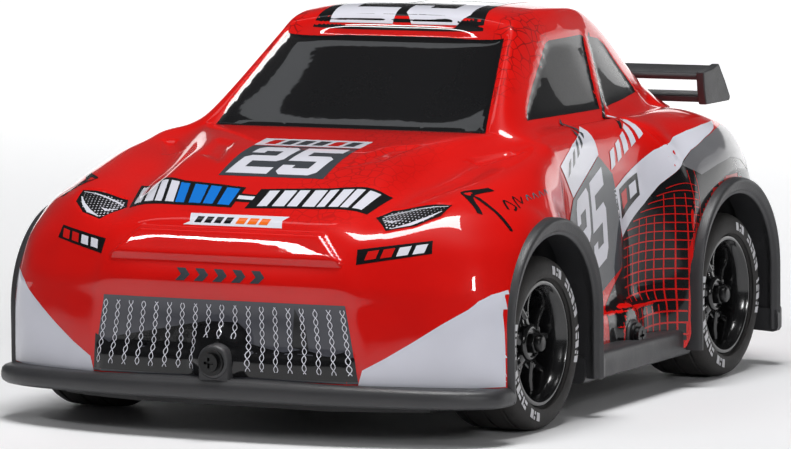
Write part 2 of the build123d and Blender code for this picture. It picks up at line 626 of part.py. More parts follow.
def left_tyre(axle_y):
    """A low tyre on the rim's barrel, with its bead behind the rim's lip."""
    with BuildPart() as tyre:
        with BuildSketch(wheel_plane(axle_y)):
            Polygon(
                (51.2, RIM_R), (69.2, RIM_R), (69.2, 16.4), (70.8, 16.4), (TYRE_OUT_X, 17.6),
                (TYRE_OUT_X, 20.4), (70.6, 22.2), (68.5, TYRE_R), (53.5, TYRE_R), (51.4, 22.2),
                (TYRE_IN_X, 20.4), (TYRE_IN_X, 17.0), align=None,
            )
        revolve(axis=Axis((0, axle_y, AXLE_Z), (1, 0, 0)))
    return tyre


def left_nut(axle_y, bore, seat_x):
    """The hexagon nut that keeps a wheel on its axle."""
    with BuildPart() as nut:
        with BuildSketch(Plane.YZ.offset(seat_x)):
            with Locations((axle_y, AXLE_Z)):
                RegularPolygon(3.4, 6)
                Circle(bore, mode=Mode.SUBTRACT)
        extrude(amount=AXLE_END_X - seat_x)
    return nut


WHEELS = {
    "front": (FRONT_Y, STUB_R + RUN_GAP, STUB_R, 60.2, HUB_OUT_X + 0.15),
    "rear": (REAR_Y, REAR_AXLE_R, REAR_AXLE_R, 53.0, HUB_OUT_X),
}
for end, (axle_y, hub_bore, nut_bore, hub_in_x, nut_x) in WHEELS.items():
    rim = left_rim(axle_y, hub_bore, hub_in_x)
    tyre = left_tyre(axle_y)
    nut = left_nut(axle_y, nut_bore, nut_x)
    finish(rim, f"rim_{end}_left")
    finish(tyre, f"tyre_{end}_left")
    finish(nut, f"wheel_nut_{end}_left")
    finish(mirrored(rim), f"rim_{end}_right")
    finish(mirrored(tyre), f"tyre_{end}_right")
    finish(mirrored(nut), f"wheel_nut_{end}_right")

# ---------------------------------------------------------------- gear train
def involute(radius, base_r):
    """How far the involute has turned away from its start at a radius."""
    angle = acos(min(1.0, base_r / radius))
    return tan(angle) - angle


def gear_sketch(teeth, module, point, phase):
    """Stub involute teeth thinned by the backlash, with one tooth centred on the phase angle."""
    pitch_r = teeth * module / 2
    base_r = pitch_r * cos(PRESSURE)
    root_r = pitch_r - 1.1 * module
    tip_r = pitch_r + 0.8 * module
    start_r = max(base_r, root_r)
    half_tooth = pi / (2 * teeth) - BACKLASH / (2 * pitch_r)
    radii = [start_r + (tip_r - start_r) * step / 3 for step in range(4)]
    if root_r < base_r:
        radii.insert(0, root_r)
    flank = [(r, half_tooth + involute(pitch_r, base_r) - involute(r, base_r)) for r in radii]
    outline = []
    for tooth in range(teeth):
        middle = phase + 2 * pi * tooth / teeth
        sweep = [(r, middle - a) for r, a in flank] + [(r, middle + a) for r, a in reversed(flank)]
        outline += [(point[0] + r * cos(a), point[1] + r * sin(a)) for r, a in sweep]
    Polygon(*outline, align=None)


def gear(teeth, module, point, phase, x):
    """One toothed wheel between two places along X."""
    with BuildSketch(Plane.YZ.offset(x[0])) as toothed:
        gear_sketch(teeth, module, point, phase)
    extrude(toothed.sketch, amount=x[1] - x[0])


def facing(angle, teeth):
    """The phase of the smaller gear, whose gap faces back along the line of centres."""
    return angle + pi + pi / teeth


with BuildPart() as axle_gear:
    gear(AXLE_TEETH, SLOW_MODULE, AXLE_POINT, SLOW_ANGLE, (-21.5, -17))
    rod(AXLE_POINT, 4.5, (-23, -15.6))
    rod(AXLE_POINT, REAR_AXLE_R, (-23, -15.6), mode=Mode.SUBTRACT)
finish(axle_gear, "axle_gear")

with BuildPart() as reduction_gear:
    gear(LARGE_TEETH, FAST_MODULE, RED_POINT, FAST_ANGLE, (-14.6, -11))
    gear(SMALL_TEETH, SLOW_MODULE, RED_POINT, facing(SLOW_ANGLE, SMALL_TEETH), (-22.6, -14.6))
    rod(RED_POINT, RED_SHAFT_R + RUN_GAP, (-23, -10), mode=Mode.SUBTRACT)
finish(reduction_gear, "reduction_gear")

with BuildPart() as reduction_shaft:
    rod(RED_POINT, RED_SHAFT_R, (BOX_OUT_X, BOX_IN_X))
finish(reduction_shaft, "reduction_shaft")

with BuildPart() as pinion:
    gear(PINION_TEETH, FAST_MODULE, MOTOR_POINT, facing(FAST_ANGLE, PINION_TEETH), (-15, -10.8))
    rod(MOTOR_POINT, 1.0, (-15, -10.8), mode=Mode.SUBTRACT)
finish(pinion, "pinion")

with BuildPart() as motor_shaft:
    rod(MOTOR_POINT, 1.0, (-15, 26))
finish(motor_shaft, "motor_shaft")

MOTOR_SCREWS = [(MOTOR_POINT[0], MOTOR_POINT[1] + reach) for reach in (-6.5, 6.5)]

with BuildPart() as motor_can:
    rod(MOTOR_POINT, MOTOR_R, (BOX_IN_X, 23))
    rod(MOTOR_POINT, 4, (23, 25))
    rod(MOTOR_POINT, 2.5, (BOX_IN_X - 1, BOX_IN_X))
    rod(MOTOR_POINT, 1.0 + RUN_GAP, (BOX_IN_X - 2, 25), mode=Mode.SUBTRACT)
    for screw_point in MOTOR_SCREWS:
        rod(screw_point, SMALL_SCREW_R, (BOX_IN_X, BOX_IN_X + 4), mode=Mode.SUBTRACT)
finish(motor_can, "motor_can")

with BuildPart() as motor_screws:
    for screw_point in MOTOR_SCREWS:
        rod(screw_point, SMALL_SCREW_R, (BOX_IN_X - BOX_WALL, BOX_IN_X + 3.5))
finish(motor_screws, "motor_screws")

# The box's wall runs round the three shafts at these inner radii.
BOX_RADII = [(AXLE_POINT, 11.7), (RED_POINT, 13.1), (MOTOR_POINT, 8.8)]
EARS = [
    (RED_POINT[0] + 7.6, RED_POINT[1] + 13.6),
    (MOTOR_POINT[0] - 11.6, MOTOR_POINT[1] + 2),
    (AXLE_POINT[0] + 14.2, AXLE_POINT[1] - 2.5),
]
BUSH_X = [(-28.0, -24.7), (-9.8, -6.5), SUPPORT_X, (-SUPPORT_X[1], -SUPPORT_X[0])]


def box_outline(extra):
    """The hull round the three shafts, grown by the wall."""
    for point, radius in BOX_RADII:
        with Locations(point):
            Circle(radius + extra)
    make_hull()


def gearbox_half(x, cavity_x, boss_x):
    """One half of the gearbox: an open cup with screw ears, a bush boss and feet on the deck."""
    with BuildPart() as half:
        with BuildSketch(Plane.YZ.offset(x[0])):
            box_outline(BOX_WALL)
            with Locations(*EARS):
                Circle(3.0)
        extrude(amount=x[1] - x[0])
        rod(AXLE_POINT, 5.2, boss_x)
        block((min(x), max(x)), (44, 50), (DECK_Z, 17))
        with BuildSketch(Plane.YZ.offset(cavity_x[0])):
            box_outline(0)
        extrude(amount=cavity_x[1] - cavity_x[0], mode=Mode.SUBTRACT)
        rod(AXLE_POINT, BUSH_R, (boss_x[0], x[1]), mode=Mode.SUBTRACT)
        rod(RED_POINT, RED_SHAFT_R, x, mode=Mode.SUBTRACT)
        for ear in EARS:
            rod(ear, SCREW_R, x, mode=Mode.SUBTRACT)
    return half


gearbox_outer_half = gearbox_half(
    (BOX_OUT_X, BOX_SPLIT_X), (BOX_OUT_X + BOX_WALL, BOX_SPLIT_X), (-28.0, BOX_OUT_X),
)
finish(gearbox_outer_half, "gearbox_outer_half")

with BuildPart() as gearbox_inner_half:
    add(gearbox_half((BOX_IN_X, BOX_SPLIT_X), (BOX_IN_X - BOX_WALL, BOX_SPLIT_X), (-6.5, BOX_IN_X)).part)
    rod(MOTOR_POINT, 2.6, (BOX_IN_X, BOX_IN_X - BOX_WALL), mode=Mode.SUBTRACT)
    for screw_point in MOTOR_SCREWS:
        rod(screw_point, SMALL_SCREW_R, (BOX_IN_X, BOX_IN_X - BOX_WALL), mode=Mode.SUBTRACT)
finish(gearbox_inner_half, "gearbox_inner_half")

with BuildPart() as gearbox_screws:
    for ear in EARS:
        rod(ear, SCREW_R, (BOX_OUT_X, BOX_IN_X))
        rod(ear, 2.6, (BOX_OUT_X - 1.4, BOX_OUT_X))
finish(gearbox_screws, "gearbox_screws")

with BuildPart() as axle_bushes:
    for bush_x in BUSH_X:
        rod(AXLE_POINT, BUSH_R, bush_x)
        rod(AXLE_POINT, REAR_AXLE_R + RUN_GAP, bush_x, mode=Mode.SUBTRACT)
finish(axle_bushes, "axle_bushes")

with BuildPart() as axle_support_left:
    block(SUPPORT_X, (REAR_Y - 12, REAR_Y + 12), (DECK_Z, 12.5))
    block(SUPPORT_X, (REAR_Y - 5.5, REAR_Y + 5.5), (12.5, AXLE_Z))
    rod(AXLE_POINT, 5.5, SUPPORT_X)
    rod(AXLE_POINT, BUSH_R, SUPPORT_X, mode=Mode.SUBTRACT)
    for reach in (-SUPPORT_SCREW_REACH, SUPPORT_SCREW_REACH):
        post((38, REAR_Y + reach), SMALL_CLEAR, (DECK_Z, 12.5), mode=Mode.SUBTRACT)
finish(axle_support_left, "axle_support_left")
finish(mirrored(axle_support_left), "axle_support_right")

with BuildPart() as support_screws:
    for support_side in SIDES:
        for reach in (-SUPPORT_SCREW_REACH, SUPPORT_SCREW_REACH):
            upright_screw((support_side * 38, REAR_Y + reach), SMALL_SCREW_R, FLOOR_Z + 0.2, 12.5, 1.9)
finish(support_screws, "support_screws")

with BuildPart() as rear_axle:
    rod(AXLE_POINT, REAR_AXLE_R, (-AXLE_END_X, AXLE_END_X))
finish(rear_axle, "rear_axle")
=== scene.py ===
"""The looks of a toy remote control touring car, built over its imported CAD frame.

The helpers take millimetres and write metres. +Z is up, the car drives towards -Y, +X is its own left side.
"""

import json
from math import atan2, cos, hypot, pi, radians, sin

import bmesh
import bpy
import numpy as np
from mathutils import Matrix, Vector
from mathutils.bvhtree import BVHTree


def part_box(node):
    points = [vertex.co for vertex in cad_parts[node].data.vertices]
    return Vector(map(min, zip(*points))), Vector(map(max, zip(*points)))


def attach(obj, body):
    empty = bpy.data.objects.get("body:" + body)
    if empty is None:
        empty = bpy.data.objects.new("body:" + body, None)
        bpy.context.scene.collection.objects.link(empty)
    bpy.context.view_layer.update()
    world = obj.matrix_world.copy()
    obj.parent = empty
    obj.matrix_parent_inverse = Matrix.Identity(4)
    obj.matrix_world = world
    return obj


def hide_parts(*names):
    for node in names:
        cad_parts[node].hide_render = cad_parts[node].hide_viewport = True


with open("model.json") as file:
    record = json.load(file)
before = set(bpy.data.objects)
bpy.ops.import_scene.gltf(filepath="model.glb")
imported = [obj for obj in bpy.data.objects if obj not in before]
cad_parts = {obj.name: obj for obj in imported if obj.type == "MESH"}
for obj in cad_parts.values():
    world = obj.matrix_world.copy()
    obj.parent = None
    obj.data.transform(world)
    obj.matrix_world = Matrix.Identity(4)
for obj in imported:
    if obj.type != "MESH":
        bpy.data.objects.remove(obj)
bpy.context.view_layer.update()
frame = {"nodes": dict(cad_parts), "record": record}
MM = 0.001
SIDES = (1, -1)
SIDE_VIEWS = ((1, "left"), (-1, "right"))


def wheel_centre(where):
    """The y and z of a wheel's axle, in millimetres, from the box of its tyre."""
    low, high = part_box(f"tyre_{where}")
    return [round((low[k] + high[k]) / 2 / MM, 2) for k in (1, 2)]


FRONT_Y, AXLE_Z = wheel_centre("front_left")
REAR_Y, _ = wheel_centre("rear_left")
ARCH_YS = (FRONT_Y + 1, REAR_Y)
ARCH_Z = AXLE_Z + 6


# ---------------------------------------------------------------- materials
class Nodes:
    """A node material under construction."""

    def __init__(self, name):
        self.material = bpy.data.materials.new(name)
        self.material.use_nodes = True
        self.tree = self.material.node_tree
        self.tree.nodes.clear()
        self.output = self.tree.nodes.new("ShaderNodeOutputMaterial")
        self.where = self.add("TexCoord").outputs["Object"]

    def add(self, kind, inputs=None, **settings):
        """A new node, with its settings and with values or other nodes' outputs on its inputs."""
        node = self.tree.nodes.new("ShaderNode" + kind)
        for key, value in settings.items():
            setattr(node, key, value)
        for key, value in (inputs or {}).items():
            self.put(node.inputs[key], value)
        return node

    def put(self, socket, value):
        if isinstance(value, bpy.types.NodeSocket):
            self.tree.links.new(value, socket)
        else:
            socket.default_value = value

    def math(self, operation, a, b=0.0):
        return self.add("Math", {0: a, 1: b}, operation=operation).outputs[0]

    def product(self, first, *others):
        for other in others:
            first = self.math("MULTIPLY", first, other)
        return first

    def noise(self, scale, detail=3.0, rough=0.55, vector=None):
        node = self.add("TexNoise", {"Vector": vector or self.where, "Scale": scale, "Detail": detail,
                                     "Roughness": rough})
        return node.outputs["Fac"]

    def mix(self, factor, a, b):
        node = self.add("Mix", data_type="RGBA")
        self.put(node.inputs[0], factor)
        self.put(node.inputs[6], a)
        self.put(node.inputs[7], b)
        return node.outputs[2]

    def ramp(self, value, low, high, to_low=0.0, to_high=1.0):
        node = self.add("MapRange", {"Value": value, "From Min": low, "From Max": high, "To Min": to_low,
                                     "To Max": to_high})
        return node.outputs["Result"]

    def bump(self, height, strength, distance):
        node = self.add("Bump", {"Height": height, "Strength": strength, "Distance": distance})
        return node.outputs["Normal"]

    def shader(self, **inputs):
        """Ends the material with a Principled shader, whose inputs' names have _ for a space."""
        named = {key.replace("_", " "): value for key, value in inputs.items()}
        node = self.add("BsdfPrincipled", named)
        self.tree.links.new(node.outputs[0], self.output.inputs[0])
        return self.material


def rgb(r, g, b):
    """A colour given as it looks on screen, 0 to 255, as linear light."""
    def linear(c):
        c /= 255
        return c / 12.92 if c <= 0.04045 else ((c + 0.055) / 1.055) ** 2.4
    return linear(r), linear(g), linear(b), 1.0


def lighter(colour, factor):
    return tuple(min(1.0, c * factor) for c in colour[:3]) + (1.0,)


def lacquered(n, base, coat_rough, low_speck, high_speck, peel_scale):
    """A clear coat with slight orange peel over a base colour with fine specks."""
    peel = n.bump(n.noise(peel_scale, 2, 0.4), 0.016, 0.0006)
    speck = n.ramp(n.noise(1500, 2, 0.7), 0.2, 0.9, low_speck, high_speck)
    return n.shader(Base_Color=base, Roughness=speck, Specular_IOR_Level=0.1, Coat_Weight=1.0,
                    Coat_Roughness=coat_rough, Coat_Normal=peel, Normal=peel)


def lacquer(name, colour, coat_rough=0.02, flake=0.05):
    """A printed colour under a clear coat, with the coat's slight orange peel."""
    n = Nodes(name)
    cloud = n.noise(40, 2)
    base = n.mix(n.ramp(cloud, 0.3, 0.7), lighter(colour, 1 - flake), lighter(colour, 1 + flake))
    return lacquered(n, base, coat_rough, 0.28, 0.42, 260)


def moulded(name, colour, rough=0.5, grain=0.12, scale=2200.0, coat=0.0):
    """Moulded plastic or rubber with fine spark-eroded grain and slight handling marks."""
    wear = 0.08
    n = Nodes(name)
    fine = n.noise(scale, 4, 0.65)
    broad = n.noise(90, 3)
    base = n.mix(n.ramp(broad, 0.3, 0.75), lighter(colour, 1 - wear), lighter(colour, 1 + wear))
    gloss = n.ramp(n.noise(160, 4, 0.6), 0.25, 0.8, max(0.02, rough - 0.08), min(1.0, rough + 0.08))
    return n.shader(Base_Color=base, Roughness=gloss, Coat_Weight=coat, Coat_Roughness=0.08,
                    Normal=n.bump(fine, grain, 0.0004))


def metal(name, colour, rough):
    """Bare turned or stamped metal with fine streaks."""
    n = Nodes(name)
    stretched = n.add("Mapping", {"Vector": n.where, "Scale": (60.0, 2600.0, 2600.0)}).outputs[0]
    lines = n.noise(1.0, 3, 0.6, stretched)
    base = n.mix(lines, lighter(colour, 0.88), lighter(colour, 1.08))
    gloss = n.ramp(lines, 0.2, 0.8, rough - 0.05, rough + 0.05)
    return n.shader(Base_Color=base, Metallic=1.0, Roughness=gloss, Normal=n.bump(lines, 0.08, 0.0002))


def body_paint():
    """The shell's red lacquer, with thin dark crackle lines printed on bonnet, pillars and roof edges."""
    n = Nodes("paint_red")
    red, deep = rgb(222, 14, 6), rgb(208, 9, 4)
    base = n.mix(n.ramp(n.noise(30, 2), 0.3, 0.7), deep, red)
    warp = n.add("VectorMath", {0: n.where, 1: n.add("VectorMath", {
        0: n.add("TexNoise", {"Vector": n.where, "Scale": 45.0}).outputs["Color"], 3: 0.006},
        operation="SCALE").outputs[0]}, operation="ADD").outputs[0]
    cells = n.add("TexVoronoi", {"Vector": warp, "Scale": 330.0, "Randomness": 0.8},
                  feature="DISTANCE_TO_EDGE").outputs["Distance"]
    line = n.ramp(cells, 0.02, 0.06, 1.0, 0.0)
    axes = n.add("SeparateXYZ", {"Vector": n.where}).outputs
    across = n.math("ABSOLUTE", axes[0])
    pillar = n.product(n.ramp(axes[2], 0.079, 0.083), n.ramp(across, 0.029, 0.031),
                       n.ramp(across, 0.0375, 0.043, 1.0, 0.0), n.ramp(axes[1], 0.016, 0.024, 1.0, 0.0), 0.75)
    bonnet = n.product(n.ramp(axes[0], 0.002, 0.014), n.ramp(axes[0], 0.026, 0.04, 1.0, 0.0),
                       n.ramp(axes[1], -0.03, -0.024, 1.0, 0.0), n.ramp(axes[2], 0.054, 0.060), 0.4)
    base = n.mix(n.product(line, n.math("ADD", pillar, bonnet)), base, rgb(95, 6, 6))
    return lacquered(n, base, 0.015, 0.3, 0.44, 220)


RED = body_paint()
WHITE = lacquer("print_white", rgb(222, 222, 232))
PALE = lacquer("print_pale", rgb(218, 219, 230))
# grey of the rear haunch: partly the print's grey, partly a painted reflection of the light band mirrored
# under the swoosh
HAUNCH_GREY_AND_SHEEN = lacquer("haunch_grey_and_painted_sheen", rgb(112, 112, 115), 0.08, 0.2)
SLATE = lacquer("print_slate", rgb(62, 66, 72))
GREY = lacquer("print_grey", rgb(72, 73, 80), 0.05)
BLACK = lacquer("print_black", rgb(14, 14, 16))
BLUE = lacquer("print_blue", rgb(10, 120, 215))
ORANGE = lacquer("print_orange", rgb(240, 110, 20))
SIGNAL = lacquer("print_signal_red", rgb(205, 20, 15))
TEAL = lacquer("print_teal", rgb(40, 110, 120))
GLASS = lacquer("window_black", rgb(10, 10, 12), 0.03)
RUBBER = moulded("tyre_rubber", rgb(42, 40, 39), 0.72, 0.25, 1500.0)
TRIM = moulded("trim_matte", rgb(55, 55, 57), 0.42, 0.2, 1900.0)
RIM = moulded("rim_gloss", rgb(22, 22, 23), 0.2, 0.04, 900.0, 0.6)
SCREW = moulded("screw_black", rgb(8, 8, 9), 0.34, 0.05, 1200.0)
MARK = moulded("tyre_mark", rgb(205, 205, 208), 0.6, 0.15, 1500.0)
INNER = moulded("shell_inside", rgb(70, 12, 9), 0.5, 0.1)
CHASSIS = moulded("chassis_black", rgb(30, 30, 32), 0.5, 0.2)
NYLON = moulded("gear_nylon", rgb(232, 229, 215), 0.42, 0.08)
SERVO = moulded("servo_case", rgb(34, 38, 62), 0.38, 0.12)
WRAP = moulded("battery_wrap", rgb(34, 74, 150), 0.28, 0.06, 700.0, 0.4)
KNOB = moulded("switch_knob", rgb(190, 40, 30), 0.45, 0.1)
STEEL = metal("steel", rgb(178, 180, 184), 0.3)
BRONZE = metal("bronze", rgb(176, 128, 70), 0.38)


def board_material():
    """Green solder mask with thin copper tracks."""
    n = Nodes("board_green")
    tracks = n.add("TexBrick", {"Vector": n.where, "Scale": 240.0, "Mortar Size": 0.05,
                                "Color1": rgb(20, 96, 48), "Color2": rgb(16, 84, 42),
                                "Mortar": rgb(60, 140, 70)}, offset=0.35).outputs["Color"]
    return n.shader(Base_Color=tracks, Roughness=n.ramp(n.noise(500), 0.2, 0.8, 0.25, 0.4),
                    Normal=n.bump(n.noise(700), 0.1, 0.0002))


# the material of each slot of the record
FINISH = {
    "body_gloss": RED, "trim_matte": TRIM, "tyre_rubber": RUBBER, "rim_gloss": RIM, "screw_black": SCREW,
    "steel": STEEL, "chassis_black": CHASSIS, "gear_nylon": NYLON, "bronze": BRONZE, "servo_case": SERVO,
    "board_green": board_material(), "battery_wrap": WRAP, "switch_knob": KNOB,
}
for part in frame["record"]["subparts"]:
    for holder in frame["nodes"][part["node"]].material_slots:
        holder.material = FINISH[part["material_slot"]]


# ---------------------------------------------------------------- mesh helpers
def piece(name, points, faces, materials, body, normals=None, face_materials=None):
    """A new smooth-shaded object from points in millimetres, which rides on a body."""
    mesh = bpy.data.meshes.new(name)
    mesh.from_pydata((np.asarray(points, float) * MM).tolist(), [], faces)
    for material in materials:
        mesh.materials.append(material)
    if face_materials is not None:
        mesh.polygons.foreach_set("material_index", face_materials)
    mesh.polygons.foreach_set("use_smooth", [True] * len(mesh.polygons))
    if normals is not None:
        mesh.normals_split_custom_set_from_vertices([tuple(v) for v in normals])
    mesh.update()
    made = bpy.data.objects.new(name, mesh)
    bpy.context.scene.collection.objects.link(made)
    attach(made, body)
    return made


def bevelled(made, width, segments, angle):
    """Rounds a piece's edges that are sharper than an angle."""
    rounded = made.modifiers.new("bevel", "BEVEL")
    rounded.width = width * MM
    rounded.segments = segments
    rounded.limit_method = "ANGLE"
    rounded.angle_limit = radians(angle)
    rounded.harden_normals = True
    graph = bpy.context.evaluated_depsgraph_get()
    mesh = bpy.data.meshes.new_from_object(made.evaluated_get(graph))
    made.modifiers.clear()
    made.data = mesh


class Solid:
    """Collects points and faces of one or more forms."""

    def __init__(self):
        self.points, self.faces = [], []

    def sheet(self, lines):
        """Skins a row of equal open lines."""
        start, count = len(self.points), len(lines[0])
        for line in lines:
            self.points += [tuple(p) for p in line]
        for i in range(len(lines) - 1):
            for j in range(count - 1):
                a = start + i * count + j
                self.faces.append((a, a + 1, a + count + 1, a + count))

    def loft(self, loops, around=False):
        """Skins a row of equal closed loops, and caps its ends. around joins the last loop to the first."""
        start, count = len(self.points), len(loops[0])
        for loop in loops:
            self.points += [tuple(p) for p in loop]
        steps = len(loops) if around else len(loops) - 1
        for i in range(steps):
            a, b = start + i * count, start + (i + 1) % len(loops) * count
            for j in range(count):
                k = (j + 1) % count
                self.faces.append((a + j, a + k, b + k, b + j))
        if not around:
            self.faces.append(tuple(range(start + count - 1, start - 1, -1)))
            self.faces.append(tuple(range(start + (len(loops) - 1) * count, start + len(loops) * count)))

    def make(self, name, material, body, slot, sharp=None, replaces=None):
        """The piece, with edges sharper than an angle kept sharp, in place of a CAD node if one is named."""
        made = piece(name, self.points, self.faces, [material], body)
        bm = bmesh.new()
        bm.from_mesh(made.data)
        bmesh.ops.recalc_face_normals(bm, faces=bm.faces)
        bm.to_mesh(made.data)
        bm.free()
        if sharp:
            made.data.set_sharp_from_angle(angle=radians(sharp))
        if replaces:
            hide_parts(replaces)
        return made


